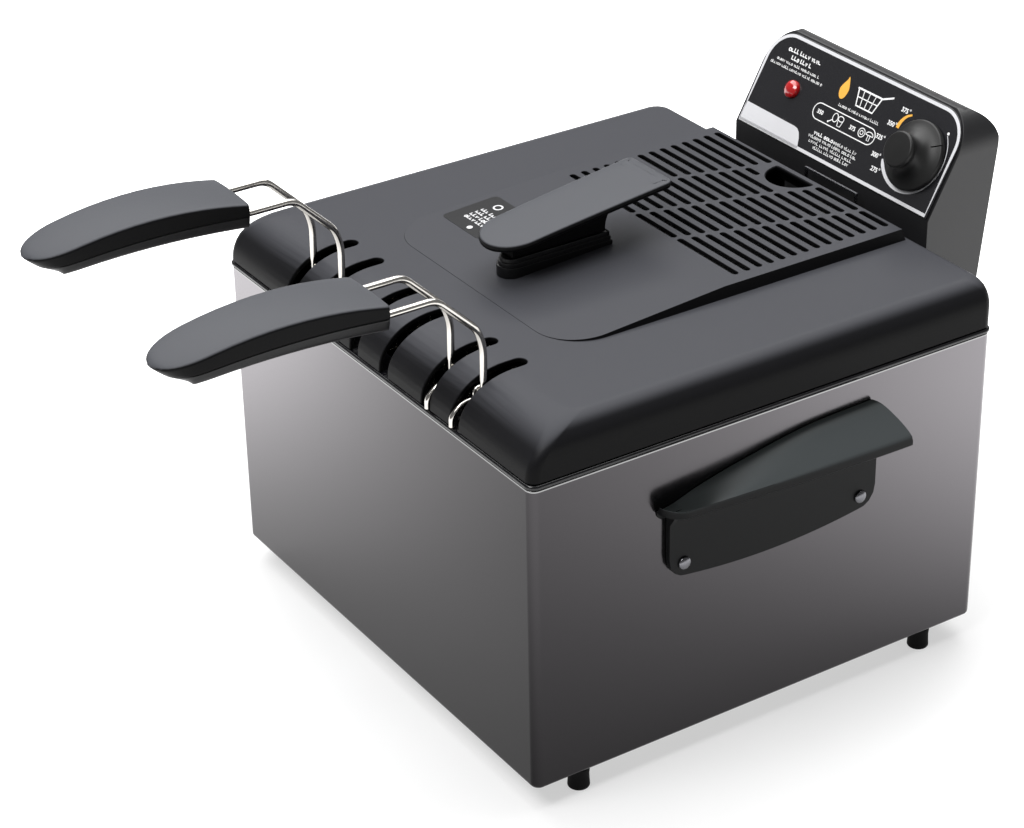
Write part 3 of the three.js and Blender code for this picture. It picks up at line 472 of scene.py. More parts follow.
def painted_wall_sheen(made, stops, run, lean, shift, rise, bend, flat):
    """Paints reflections into the finish's base colour along the walls, with a painted highlight in a colour
    of its own along the hem's top edge.

    stops are (place in mm, colour) over the distance round from the front right corner plus a share of the
    height. The distance turns back after run. The share starts at rise and tails off by bend. On the side
    walls lean scales the distance, shift is added to it and flat takes away some of the share.
    """
    def maths(operation, *values):
        return node(made, "Math", "Value", dict(enumerate(values)), operation=operation)

    x, y, z = node(made, "SeparateXYZ", None, {"Vector": node(made, "TexCoord", "Object")})
    sideways = maths("ABSOLUTE", node(made, "SeparateXYZ", "X",
                                      {"Vector": node(made, "TexCoord", "Normal")}))
    along = maths("MULTIPLY_ADD", y, lean, (HALF_X + (HALF_Y - HOUSING_Y) * lean) * MM)
    distance = maths("PINGPONG", maths("SUBTRACT", along, x), run * MM)
    turned = maths("MULTIPLY_ADD", sideways, shift * MM, distance)
    tail = maths("MULTIPLY_ADD", z, -rise * bend / MM, rise)
    share = maths("MULTIPLY", tail, maths("MULTIPLY_ADD", sideways, -flat, 1.0))
    height = maths("MULTIPLY_ADD", z, share, turned)
    span = stops[-1][0] * MM
    places = [(at * MM / span, color) for at, color in stops]
    # Painted reflection: lighter and darker bands along the walls, in the base colour.
    wall = gradient(made, maths("DIVIDE", height, span), places, "B_SPLINE")
    # Painted highlight: the top band of the steel's hem gets a light colour of its own.
    hem = maths("GREATER_THAN", z, (WALL_TOP - HEM_HIGHLIGHT_BAND) * MM)
    feed(made, "Base Color", node(made, "Mix", "Result", {"A": wall, "B": HEM_HIGHLIGHT_COLOR, "Factor": hem},
                                  data_type="RGBA"))


def painted_top_light(made, stops):
    """Paints top light into a finish's base colour by how far it faces up: stops of (upward share of the
    normal, colour).
    """
    upward = node(made, "SeparateXYZ", "Z", {"Vector": node(made, "TexCoord", "Normal")})
    feed(made, "Base Color", gradient(made, upward, stops, "EASE"))


CLOUD_SCALE = 22
# Height in mm and colour of the painted highlight along the top of the steel's hem.
HEM_HIGHLIGHT_BAND, HEM_HIGHLIGHT_COLOR = 1.0, (0.26, 0.26, 0.26, 1)
STEEL = look("pewter_steel", (0.2, 0.2, 0.2), 0.17, (0.05, 0.8, 0, 0.02), metallic=1.0, streak=(1, 1, 0.06))
PEWTER = (1.0, 0.95, 1.0)
# Painted reflection: the steel's base colour at each place round the walls, from dark to light.
STEEL_PAINTED_SHEEN_STOPS = ((0, 0.0145), (75, 0.0155), (150, 0.0235), (225, 0.0352), (300, 0.051), (375, 0.0845),
               (450, 0.149), (525, 0.22))
painted_wall_sheen(STEEL, [(at, [c * level for c in PEWTER]) for at, level in STEEL_PAINTED_SHEEN_STOPS], run=301.6, lean=0.588,
      shift=176.8, rise=2.747, bend=0.00267, flat=0.532)
LID_PLASTIC = look("lid_charcoal", (0.006, 0.006, 0.007), 0.40, (0.25, 0.35, 0.06, 0.05),
                   Specular_IOR_Level=0.06)
# Painted top light: the lid's faces that turn up get a lighter base colour, its sides a darker one.
painted_top_light(LID_PLASTIC, [(0.0, (0.002, 0.002, 0.0022)), (0.66, (0.008, 0.008, 0.009)),
                    (0.98, (0.044, 0.045, 0.051))])
HEAD_PLASTIC = look("head_charcoal", (0.010, 0.010, 0.011), 0.42, (0.25, 0.35, 0.06, 0.05),
                    Specular_IOR_Level=0.4)
GRIP_PLASTIC = look("grip_charcoal", (0.0085, 0.0085, 0.0095), 0.42, (0.2, 0.4, 0.05, 0.04),
                    Specular_IOR_Level=0.08)
# Painted top light: the grips' upward faces get a lighter base colour, their sides a darker one.
painted_top_light(GRIP_PLASTIC, [(0.0, (0.002, 0.002, 0.0022)), (0.5, (0.004, 0.004, 0.0045)),
                     (0.95, (0.060, 0.062, 0.069))])
BLACK_PLASTIC = look("black_plastic", (0.004, 0.004, 0.0045), 0.34, (0.15, 0.5, 0.1, 0.04),
                     Specular_IOR_Level=0.3)
HANDLE_PLASTIC = look("handle_black", (0.004, 0.0048, 0.005), 0.36, (0.1, 0.6, 0.08, 0.04),
                      Specular_IOR_Level=0.10)
# Painted light on the side handles: faces tilted half up are painted lighter, the sides and the flat top
# darker.
painted_top_light(HANDLE_PLASTIC, [(0.05, (0.003, 0.0032, 0.0034)), (0.6, (0.052, 0.058, 0.060)),
                       (0.82, (0.050, 0.056, 0.058)), (1.0, (0.014, 0.016, 0.016))])
DIAL_PLASTIC = look("dial_black", (0.008, 0.008, 0.008), 0.42, (0.15, 0.4, 0.06, 0.04),
                    Specular_IOR_Level=0.28)
ENAMEL = look("black_enamel", (0.004, 0.004, 0.005), 0.10, (0.05, 1.5, 0.1, 0.03), Specular_IOR_Level=0.3,
              Coat_Weight=0.2, Coat_Roughness=0.05)
CHROME = look("chrome_wire", (0.52, 0.50, 0.47), 0.13, (0.06, 0.6, 0.03, 0.03), metallic=1.0)
BASKET_METAL = look("plated_mesh", (0.66, 0.64, 0.60), 0.20, (0.1, 0.4, 0.06, 0.05), metallic=1.0)
ZINC = look("zinc_plate", (0.52, 0.52, 0.50), 0.34, (0.2, 0.5, 0.10, 0.08), metallic=1.0)
DARK_ZINC = look("dark_rivet", (0.13, 0.13, 0.14), 0.26, (0.1, 0.5, 0.10, 0.06), metallic=1.0)
RUBBER = look("foot_rubber", (0.004, 0.004, 0.004), 0.65, (0.4, 0.5, 0.15, 0.06), Specular_IOR_Level=0.08)
SHEATH = look("element_sheath", (0.16, 0.15, 0.14), 0.42, (0.3, 0.8, 0.25, 0.10), metallic=1.0)
SCREEN = look("filter_aluminium", (0.62, 0.62, 0.62), 0.30, (0.2, 0.3, 0.10, 0.08), metallic=1.0)
FOAM = look("filter_foam", (0.012, 0.012, 0.013), 0.90, (1.0, 1.2, 0.35, 0.05))
PANEL = look("label_black", (0.010, 0.010, 0.012), 0.25, (0.05, 0.6, 0.05, 0.02))
SILVER = look("label_silver", (0.60, 0.60, 0.62), 0.38, (0.08, 0.3, 0.04, 0.03))
WHITE = look("label_white", (0.85, 0.85, 0.85), 0.40, (0, 0.5, 0.02, 0.02))
AMBER = look("label_amber", (0.80, 0.40, 0.06), 0.38, (0, 0.5, 0.05, 0.02))
RED_LENS = look("red_lens", (0.42, 0.004, 0.006), 0.10, (0, 0.5, 0.25, 0.03), Coat_Weight=0.8,
                Coat_Roughness=0.04)
LAMP = look("neon_glass", (0.80, 0.35, 0.20), 0.15, (0, 0.5, 0.05, 0.02))
RED_BUTTON = look("red_button", (0.50, 0.012, 0.012), 0.28, (0.1, 0.5, 0.05, 0.03))
DECAL = look("lid_decal", (0.005, 0.005, 0.006), 0.34, (0, 0.5, 0.05, 0.02), Specular_IOR_Level=0.14)
DECAL_INK = look("decal_ink", (0.55, 0.55, 0.56), 0.4, (0, 0.5, 0.05, 0.02))


# ---------- housing ----------
def ring_sweep(profile, half_x, half_y, corner, steps=10):
    """A sheet section of (inset, z) pairs carried round a rounded rectangle."""
    rings = [rect_loop(i - half_x, half_x - i, i - half_y, half_y - i, corner - i, z, steps)
             for i, z in profile]
    return skin(rings, around=True)


def housing_wrap():
    bend, hem = 2.4, 0.55
    outer = arc(bend, FLOOR_GAP + bend, bend, 270, 180, 5)
    top = arc(hem, WALL_TOP - hem, hem, 180, 0, 6)
    inner = arc(bend, FLOOR_GAP + bend, bend - SHEET, 180, 270, 4)
    ends = [(FLANGE, FLOOR_GAP)], [(SHEET, 60), (SHEET, 30)], [(FLANGE, FLOOR_GAP + SHEET)]
    return ring_sweep(ends[0] + outer + top + ends[1] + inner + ends[2], HALF_X, HALF_Y, CORNER)


def foot_profile():
    """Rubber foot: chamfered tread, a shallow waist and a stem that snaps into the base."""
    r, top = FOOT_R, FLOOR_GAP - GAP
    tread = [(0, 0.4), (r - 2.6, 0.4), (r - 2.2, 0), (r - 0.9, 0)] + arc(r - 1.2, 1.2, 1.2, 285, 360, 5)
    waist = [(r - 0.25, 5), (r - 0.35, 8), (r - 0.1, 10.5)] + arc(r - 0.8, top - 0.8, 0.8, 0, 90, 4)
    return tread + waist + [(2.6, top), (2.6, 17), (1.8, 18), (0, 18)]


def screw_head(high=SCREW_HIGH, radius=SCREW_HEAD, shank=5.0):
    """Pan-head screw about +Z with its head's top at z = 0 and a cross recess."""
    crown = [(0, 0), (radius * 0.5, -high * 0.05), (radius * 0.8, -high * 0.3), (radius, -high * 0.75),
             (radius, -high)]
    body = lathe(crown + [(1.5, -high), (1.5, -high - shank), (0, -high - shank)], 32)
    arms = [block(-1.7, 1.7, -0.28, 0.28, -0.6, 1), block(-0.28, 0.28, -1.7, 1.7, -0.6, 1)]
    return carve(carve(body, arms[0]), arms[1])


piece("housing_wrap", housing_wrap(), "housing", STEEL, ["housing_shell"], sharp=50)
keep("base_pan", ZINC, bevel=0.5)
keep("head_guide", ZINC, bevel=0.3)
for end, sy in (("front", -1), ("rear", 1)):
    for side, sx in (("left", -1), ("right", 1)):
        shape = shifted(lathe(foot_profile()), sx * FOOT_X, sy * FOOT_Y)
        piece(f"rubber_foot_{end}_{side}", shape, "housing", RUBBER, [f"foot_{end}_{side}"])
SCREW = screw_head()
for i, (px, py) in enumerate(((-HALF_X + 10, 0), (HALF_X - 10, 0), (0, -HALF_Y + 10), (0, HALF_Y - 10))):
    shape = upturned(SCREW, px, py, FLOOR_GAP - GAP - SCREW_HIGH)
    piece(f"pan_screw_{i + 1}", shape, "housing", ZINC, [f"base_screw_{i + 1}"])


# ---------- side handles ----------
HOOD_ROOTS = ((-71, 153), (-69, 153.1), (-66, 153.4), (-60, 154.6), (-50, 157.9), (-40, 160.6),
              (-26, 163.7), (-12, 166.3), (4, 169.2), (26, 172), (64, 173.4))


def hood_root(y):
    """Height of the hood's root on the wall: a smooth curve through the stations above."""
    spots = HOOD_ROOTS
    k = max(0, min(len(spots) - 2, sum(1 for at, _ in spots if at <= y) - 1))
    (y0, z0), (y1, z1) = spots[k], spots[k + 1]

    def slope(i):
        before, after = spots[max(i - 1, 0)], spots[min(i + 1, len(spots) - 1)]
        return (after[1] - before[1]) / (after[0] - before[0])

    t, run = (y - y0) / (y1 - y0), y1 - y0
    return ((2 * t ** 3 - 3 * t ** 2 + 1) * z0 + (t ** 3 - 2 * t ** 2 + t) * run * slope(k)
            + (3 * t ** 2 - 2 * t ** 3) * z1 + (t ** 3 - t ** 2) * run * slope(k + 1))


def hood_reach(y):
    """How far out the hood's lip stands at y."""
    full = LIP_X - HOOD_TAPER * ((HOOD_REAR - max(y, HOOD_FRONT)) / (HOOD_REAR - HOOD_FRONT)) ** 1.5
    nose = math.sqrt(1 - 0.96 * (max(0.0, HOOD_FRONT - y) / HOOD_END) ** 2)
    return HALF_X + (full - HALF_X) * nose


# How much of the drop from root to lip is made, over the share of the way out.
HOOD_FALL = ((0, 0), (0.06, 0.005), (0.12, 0.015), (0.18, 0.035), (0.25, 0.075), (0.34, 0.145),
             (0.44, 0.24), (0.54, 0.345), (0.64, 0.455), (0.74, 0.575), (0.82, 0.68), (0.89, 0.785),
             (0.94, 0.87), (0.98, 0.95), (1, 1))


def hood_ring(y):
    """Closed section of the hood's shell at y, its lip swept back where the hood flares at the rear."""
    wall, lip, root = HALF_X + GAP, hood_reach(y), hood_root(y)
    flare = HOOD_FLARE * max(0.0, y / HOOD_REAR) ** 2
    low = LIP_TOP - LIP_THICK
    crown = (root + LIP_TOP) / 2 + 1.4
    outer = [(wall + (lip - wall) * t, root + (LIP_TOP - root) * fall) for t, fall in HOOD_FALL]
    thick = min(6.0, 1.2 + (lip - wall) * 0.45)
    span = max(lip - 3, wall + 0.6 * (lip - wall)) - wall
    bulge = max(-2.0, crown - 4 - (root - thick + low) / 2)
    inner = [(wall + span * t, root - thick + (low - root + thick) * t + bulge * (4 * t * (1 - t)))
             for t in [k / 8 for k in range(9)]]
    upper, lower = (1.2, 0.8) if lip - wall > 4 else (0.4, 0.4)
    lip_round = [(lip, LIP_TOP - upper), (lip, low + lower)]
    ring = outer[:-1] + [(lip - 0.35, LIP_TOP - 0.1)] + lip_round + [(lip - 0.8, low)] + inner[::-1]
    return [(x, y + flare * min(1.0, (x - wall) / (lip - wall)), z) for x, z in ring]


def side_handle():
    """Plate with a bowed lower edge and a hood over it that narrows towards the front."""
    wall = HALF_X + GAP
    stations = [HOOD_ROOTS[0][0] + HOOD_END * math.sin(math.pi / 2 * k / 8) ** 2 for k in range(8)]
    stations += [HOOD_FRONT + (HOOD_REAR - HOOD_FRONT) * k / 30 for k in range(31)]
    hood = skin([hood_ring(y) for y in stations])
    low = [(y, SIDE_LOW + SIDE_BOW * y * y)
           for y in [SIDE_FRONT + 11 + (SIDE_REAR - SIDE_FRONT - 22) * k / 16 for k in range(17)]]
    start, end = low[0], low[-1]
    left = [(SIDE_FRONT, start[1] + 12), (SIDE_FRONT + 0.9, start[1] + 7),
            (SIDE_FRONT + 3.6, start[1] + 2.8), (SIDE_FRONT + 7, start[1] + 0.7)]
    right = [(SIDE_REAR - (y - SIDE_FRONT), z - start[1] + end[1]) for y, z in left[::-1]]
    top = [(y, hood_root(min(y, HOOD_REAR)) - 3)
           for y in [SIDE_REAR + (SIDE_FRONT - SIDE_REAR) * k / 20 for k in range(21)]]
    plate = prism_x(left + low + right + top, wall, wall + SIDE_PLATE)
    ends = []
    for y in (SIDE_FRONT, SIDE_REAR - 6):
        reach, root = hood_reach(y) - 4, hood_root(y)
        ends.append(prism_y([(wall, 139), (reach, LIP_TOP - LIP_THICK), (reach, LIP_TOP - 1),
                             (wall, root - 4)], y, y + 3))
    form = carve(carve(hood, plate, how="UNION"), *ends, how="UNION")
    return softened(form, 0.55, angle=32, segments=3)


def rivet_shape():
    """Domed rivet along +X with its seat on the handle's plate."""
    seat = HALF_X + GAP + SIDE_PLATE
    inner = HALF_X - SHEET - GAP
    d = RIVET_DOME
    crown = [(d * math.cos(a), seat + GAP + 0.35 + 1.6 * math.sin(a))
             for a in [math.pi / 2 * k / 7 for k in range(8)]]
    tail = [(0, inner - 1.4), (d - 0.5, inner - 1.4), (d, inner - 0.9), (d, inner), (2.2, inner),
            (2.2, seat)]
    turned = lathe(tail + [(d, seat + 0.02)] + crown[:-1] + [(0, seat + GAP + 1.95)], 32)
    return moved(turned, lambda x, y, z: (z, x, y + RIVET_Z))


HANDLE = side_handle()
RIVET = rivet_shape()
SIDES = (("right", lambda shape: shape), ("left", mirrored))
for side, flip in SIDES:
    piece("grip_" + side, flip(HANDLE), "housing", HANDLE_PLASTIC, ["side_handle_" + side],
          sharp=40)
    for i, ry in enumerate(RIVETS_Y):
        name = f"{side}_{i + 1}"
        piece("rivet_" + name, flip(shifted(RIVET, dy=ry)), "housing", DARK_ZINC,
              ["handle_rivet_" + name], sharp=50)


# ---------- pot ----------
def pot_form():
    """Enamelled pot with an eased bottom edge and a rolled rim that lies over the housing."""
    rings = []

    def wall(inset, z, corner):
        rings.append(rect_loop(-POT_HALF + inset, POT_HALF - inset, POT_FRONT + inset, POT_REAR - inset,
                               corner, z, 12))

    def lip(inset, z):
        out = RIM_PROUD - inset
        rings.append(rect_loop(-HALF_X - out, HALF_X + out, -HALF_Y - out, HALF_Y + out, CORNER + out, z,
                               12))

    bend, lip_round = 10.0, (RIM_TOP - RIM_LOW) / 2
    for z, inset in [(POT_FLOOR + v, u) for u, v in arc(bend, bend, bend, 270, 180, 8)]:
        wall(inset, z, POT_CORNER - inset * 0.6)
    wall(0, RIM_LOW - 3, POT_CORNER)
    wall(-0.6, RIM_LOW - 1, POT_CORNER)
    wall(-2.4, RIM_LOW, POT_CORNER)
    for u, v in arc(lip_round, 0, lip_round, 270, 90, 8):
        lip(u, RIM_LOW + lip_round + v)
    wall(POT_WALL - 3, RIM_TOP, POT_CORNER)
    wall(POT_WALL - 0.8, RIM_TOP - 0.8, POT_CORNER)
    wall(POT_WALL, RIM_TOP - 3, POT_CORNER)
    for u, v in arc(bend, bend, bend - POT_WALL, 180, 270, 8):
        wall(u, POT_FLOOR + v, POT_CORNER - u * 0.6)
    return skin(rings)


piece("enamel_pot", pot_form(), "pot", ENAMEL, ["pot"])


# ---------- lid ----------
def lid_block(inset, bottom):
    """The lid's body: a rounded block with a deep curve down to the front."""
    rings = []
    start = LID_TOP - LID_FRONT_HIGH
    levels = [(bottom, bottom)] if inset else [(bottom, bottom), (bottom + 0.5, bottom + 0.5)]
    turns = [math.radians(a) for a in list(range(0, 80, 8)) + [80, 84, 87, 90]]
    levels += [(z - inset * (z - start) / LID_FRONT_HIGH, z)
               for z in [start + LID_FRONT_HIGH * math.sin(a) for a in turns]]

    def lost(z, high, reach):
        rise = max(0.0, z - (LID_TOP - high)) / high
        return reach * (1 - math.sqrt(max(0.0, 1 - rise * rise)))

    for shown, z in levels:
        side, rear = (lost(z, bend, bend) for bend in (LID_SIDE_ROUND, LID_REAR_ROUND))
        front = lost(z, LID_FRONT_HIGH, LID_FRONT_DEEP)
        lead = 0.5 if not inset and shown == bottom else 0
        x = HALF_X - inset - side - lead
        rings.append(rect_loop(-x, x, -HALF_Y + inset + front + lead, HALF_Y - inset - rear - lead,
                               LID_CORNER + side * 0.4, shown, 8))
    return skin(rings)


def plateau(inset):
    """The raised middle, ramped towards the front and drafted at the sides."""
    low = LID_TOP - 9
    front, rear, top = PLATEAU_FRONT + inset, PLATEAU_REAR - inset, PLATEAU_TOP - inset
    side = [(front, low), (front, RAMP_LOW - inset), (RAMP_END, top), (rear - 3, top), (rear, low)]
    rings = []
    for grow, z in ((0, low - 1), (0, LID_TOP - 1), (-2.5, PLATEAU_TOP + 1)):
        x = PLATEAU_HALF + grow - inset
        middle, bend = front + PLATEAU_CORNER, PLATEAU_CORNER
        plan = arc(x - bend, middle, bend, -90, 0, 14) + [(x, rear), (-x, rear)]
        plan += arc(-x + bend, middle, bend, 180, 270, 14)
        rings.append([(px, py, z) for px, py in plan])
    return carve(prism_x(side, -HALF_X, HALF_X), skin(rings), how="INTERSECT")


MOUTH = ((0.75, 0.3), (0.75, 0.0), (0.36, -0.1), (0.1, -0.36), (0.0, -0.75))


def slot_tool(x0):
    """Cutter for a handle slot: it follows the lid's front curve and eases the slot's edges."""
    stations = [(-HALF_Y, LID_LOW - 2, -1.0, 0.0)]
    for k in range(13):
        a = math.radians(7.5 * k)
        y = -HALF_Y + LID_FRONT_DEEP * (1 - math.cos(a))
        z = LID_TOP - LID_FRONT_HIGH + LID_FRONT_HIGH * math.sin(a)
        normal = Vector((-math.cos(a) / LID_FRONT_DEEP, math.sin(a) / LID_FRONT_HIGH)).normalized()
        stations.append((y, z, normal.x, normal.y))
    rings = []
    for grow, rise in MOUTH + ((-0.02, -14.0),):
        half = SLOT_HALF + grow
        right = [(x0 + half, y + ny * rise, z + nz * rise) for y, z, ny, nz in stations]
        left = [(x0 - half, y, z) for _, y, z in right]
        if rise < -5:
            right = [(x, y - 5, min(z, LID_LOW - 4)) for x, y, z in right]
            left = [(x0 - half, y, z) for _, y, z in right]
        turn = [math.radians(10 * k) for k in range(9)] + [math.radians(89)]
        z_end = LID_TOP + rise if rise > -5 else LID_LOW - 4
        centre = SLOT_END - SLOT_HALF
        for a in turn:
            right.append((x0 + half * math.cos(a), centre + half * math.sin(a), z_end))
            left.append((x0 - half * math.cos(a), centre + half * math.sin(a), z_end))
        rings.append(right + left[::-1])
    return skin(rings, ladder=True)


def stadium(a, b, y, half):
    """A slot's outline from x = a to x = b, anticlockwise."""
    return arc(b - half, y, half, -90, 90, 8) + arc(a + half, y, half, 90, 270, 8)


def moon_clear(y):
    """Half-width at y that the vents leave free round the half-moon."""
    rise = max(0.0, MOON_CHORD - y) / (MOON_DEEP + MOON_MARGIN)
    return (MOON_RADIUS + MOON_MARGIN) * math.sqrt(1 - rise * rise) if rise < 1 else 0.0


def vent_tools():
    tools = []
    layers = [(0.05, -6.0), (0.0, -0.55), (-0.08, -0.25), (-0.3, -0.03), (-0.34, 0.6)]
    for row in range(VENT_ROWS):
        y = VENT_FIRST + VENT_PITCH * row
        ribs = [x + VENT_RIB_STEP * (row - (VENT_ROWS - 1) / 2) for x in VENT_RIBS]
        edges = [-VENT_HALF_X] + [x + s * VENT_RIB / 2 for x in ribs for s in (-1, 1)] + [VENT_HALF_X]
        clear = moon_clear(y)
        for a, b in zip(edges[::2], edges[1::2]):
            near_moon = clear and a < MOON_X + clear and b > MOON_X - clear
            for c, d in ((a, MOON_X - clear), (MOON_X + clear, b)) if near_moon else ((a, b),):
                if d - c > 4:
                    tools.append(slab(stadium(c, d, y, VENT_HALF_Y), layers, lambda x, y: PLATEAU_TOP))
    return tools


def moon_tool():
    """The half-moon opening's cutter, with eased corners."""
    path = [(x, y, 0) for x, y in ellipse(MOON_X, MOON_CHORD, MOON_RADIUS, MOON_DEEP, 180, 360, 24)]
    eased = [(p.x, p.y) for p in rounded(path, 2.2, 3, closed=True)]
    layers = [(0.05, -7.0), (0.0, -0.9), (-0.15, -0.4), (-0.6, -0.03), (-0.65, 0.6)]
    return slab(eased, layers, lambda x, y: PLATEAU_TOP)


def lid_form():
    outer = softened(carve(lid_block(0, LID_LOW), plateau(0), how="UNION"), 1.1, angle=24, segments=4)
    inner = carve(lid_block(LID_WALL, LID_LOW - 2), plateau(LID_WALL), how="UNION")
    shell = carve(outer, inner)
    notch = block(NOTCH_LOW, NOTCH_HIGH, HALF_Y - 10, HALF_Y + 2, LID_LOW - 1, NOTCH_TOP)
    holes = [shifted(plug(LID_SCREW_HOLE, 208, 227, 16), dy=sy) for sy in LID_SCREWS_Y]
    slots = [slot_tool(s * x) for x in SLOTS_X for s in (-1, 1)]
    return carve(shell, notch, moon_tool(), *holes, *slots, *vent_tools())


piece("lid_moulding", lid_form(), "lid", LID_PLASTIC, ["lid_shell"], sharp=40)


# ---------- lid handle and filter ----------
def ramp_at(y):
    """Height of the plateau's top at y."""
    return RAMP_LOW + (PLATEAU_TOP - RAMP_LOW) * (y - PLATEAU_FRONT) / (RAMP_END - PLATEAU_FRONT)


def two_sided(stations):
    """Closed anticlockwise outline from (y, half width) pairs that run from the front to the rear."""
    return [(half, y) for y, half in stations] + [(-half, y) for y, half in reversed(stations)]


def grip_arch(y):
    return GRIP_LOW + (GRIP_HIGH - GRIP_LOW) * max(0.0, (y - GRIP_NOSE) / (GRIP_REAR - GRIP_NOSE)) ** 0.9


def lid_grip():
    """Tapered top plate with a round nose, on a curved web."""
    nose = [(GRIP_NOSE + GRIP_NOSE_HALF * (1 - math.cos(a)), GRIP_NOSE_HALF * math.sin(a))
            for a in map(math.radians, (4, 12, 20, 28, 36, 44, 52, 60, 68, 76, 83, 90))]
    start = GRIP_NOSE + GRIP_NOSE_HALF
    taper = [(start + (GRIP_REAR - 4 - start) * k / 10,
              GRIP_NOSE_HALF + (GRIP_REAR_HALF - GRIP_NOSE_HALF) * k / 10) for k in range(1, 11)]
    tail = [(GRIP_REAR - 4 + 4 * math.sin(a), GRIP_REAR_HALF - 4 * (1 - math.cos(a)))
            for a in map(math.radians, (20, 40, 60, 75, 90))]
    outline = two_sided(nose + taper + tail)
    edge = [(1.4, -GRIP_THICK), (0.5, -GRIP_THICK + 0.3), (0.1, -GRIP_THICK + 1), (0, -1.6), (0.15, -0.8),
            (0.6, -0.2)]
    top = slab(outline, edge + [(1.3, 0.05), (5, 0.3), (10, 0.45)], lambda x, y: grip_arch(y) - 0.45,
               ladder=True)
    foot = ramp_at(PEDESTAL_REAR) + TIER * TIERS - 0.8 + GAP
    half = PEDESTAL_HALF - 2.4
    flat = [(PEDESTAL_FRONT + 5, foot), (PEDESTAL_REAR - 3, foot)]
    bends = ((PEDESTAL_REAR - 3, PEDESTAL_REAR - 4, WEB_REAR),
             (foot, WEB_BEND, grip_arch(WEB_REAR) - GRIP_THICK + 1))
    sweep = [tuple((1 - t) ** 2 * a + 2 * t * (1 - t) * b + t * t * c for a, b, c in bends)
             for t in [k / 12 for k in range(1, 13)]]
    nose_y = GRIP_NOSE + 14
    web = softened(prism_x(flat + sweep + [(nose_y, grip_arch(nose_y) - GRIP_THICK + 1)], -half, half), 0.8)
    return carve(top, web, how="UNION")


def pedestal():
    """Stepped foot of the lid handle, cut to the plateau's slope."""
    front, rear = PEDESTAL_FRONT, PEDESTAL_REAR
    outline = [(PEDESTAL_HALF, rear), (-PEDESTAL_HALF, rear)]
    outline += arc(0, front + PEDESTAL_HALF, PEDESTAL_HALF, 180, 360, 20)
    outline = [(p.x, p.y) for p in rounded([(x, y, 0) for x, y in outline], 0.8, 2, closed=True)]
    layers = [(0.0, LID_TOP - 4)]
    for k in range(TIERS):
        top = ramp_at(rear) + TIER * (k + 1) - k * 0.4
        inset = k * 0.9
        layers += [(inset, top - 0.5), (inset + 0.15, top - 0.15), (inset + 0.5, top)]
        if k + 1 < TIERS:
            layers += [(inset + 0.85, top), (inset + 0.9, top + 0.12)]
    tiers = slab(outline, layers)
    under = [(front - 30, LID_TOP - 20), (rear + 30, LID_TOP - 20),
             (rear + 30, ramp_at(rear + 30) + GAP), (front - 30, ramp_at(front - 30) + GAP)]
    return carve(tiers, prism_x(under, -30, 30))


def woven_screen():
    """Woven wire sheet: crossing wires that pass over and under each other."""
    pitch, radius = 2.1, 0.24
    width, depth = 2 * FILTER_HALF - 1.2, FILTER_REAR - FILTER_FRONT - 1.2
    middle = (SCREEN_Z + 0.4, (FILTER_FRONT + FILTER_REAR) / 2)
    wires = []

    def wire(start, end, across, along_x, parity):
        count = max(2, int((end - start) / pitch))
        steps = [start + (end - start) * k / (2 * count) for k in range(2 * count + 1)]
        path = [(s, 0.15 * math.cos(math.pi * (s / pitch + parity))) for s in steps]
        section = [(radius * math.cos(a), radius * math.sin(a)) for a in (0.8, 2.4, 3.9, 5.5)]
        rings = []
        for s, lift in path:
            loop = [(s, across + u, middle[0] + lift + w) for u, w in section]
            rings.append([(x, y + middle[1], z) if along_x else (y, x + middle[1], z) for x, y, z in loop])
        return skin(rings)

    bay_x, bay_y = MOON_RADIUS + 3, MOON_CHORD - MOON_DEEP - 3 - middle[1]
    for k in range(int(depth / pitch)):
        y = -depth / 2 + pitch * (k + 0.5)
        cuts = [] if y < bay_y else [MOON_X - bay_x, MOON_X + bay_x]
        ends = [-width / 2, *cuts, width / 2]
        wires += [wire(a, b, y, True, k % 2) for a, b in zip(ends[::2], ends[1::2])]
    for k in range(int(width / pitch)):
        x = -width / 2 + pitch * (k + 0.5)
        wires.append(wire(-depth / 2, bay_y if abs(x - MOON_X) < bay_x else depth / 2, x, False, 1 + k % 2))
    hem = 0.34
    edge = [rect_loop(-FILTER_HALF + i, FILTER_HALF - i, FILTER_FRONT + i, FILTER_REAR - i, 4 - i,
                      middle[0] + rise, 4)
            for i, rise in ((0, -hem), (1.4, -hem), (1.4, hem), (0, hem))]
    bay = block(MOON_X - bay_x, MOON_X + bay_x, MOON_CHORD - MOON_DEEP - 3, FILTER_REAR + 1, SCREEN_Z - 1,
                SCREEN_Z + 2)
    return merged(carve(skin(edge, around=True), bay), *wires)


def foam_pad():
    """Open-cell foam slab whose faces swell and dip a little."""
    rear, top, low = PAD_REAR, SCREEN_Z - GAP, SCREEN_Z - GAP - PAD_DEEP
    columns, rows = PAD_COLUMNS, PAD_ROWS
    chance = random.Random(11)
    points, faces = [], []
    for z, lean in ((top, -1), (low, 1)):
        for j in range(rows + 1):
            for i in range(columns + 1):
                x = -FILTER_HALF + 2 * FILTER_HALF * i / columns
                y = FILTER_FRONT + (rear - FILTER_FRONT) * j / rows
                points.append((x, y, z + lean * (0.05 + chance.random() * 0.25)))
    layer = (columns + 1) * (rows + 1)
    for j in range(rows):
        for i in range(columns):
            a = j * (columns + 1) + i
            quad = (a, a + 1, a + columns + 2, a + columns + 1)
            faces += [quad, tuple(layer + v for v in reversed(quad))]
    border = list(range(columns)) + [columns + (columns + 1) * j for j in range(rows)]
    border += [layer - 1 - i for i in range(columns)] + [(columns + 1) * (rows - j) for j in range(rows)]
    for a, b in zip(border, border[1:] + border[:1]):
        faces.append((a, a + layer, b + layer, b))
    return points, faces


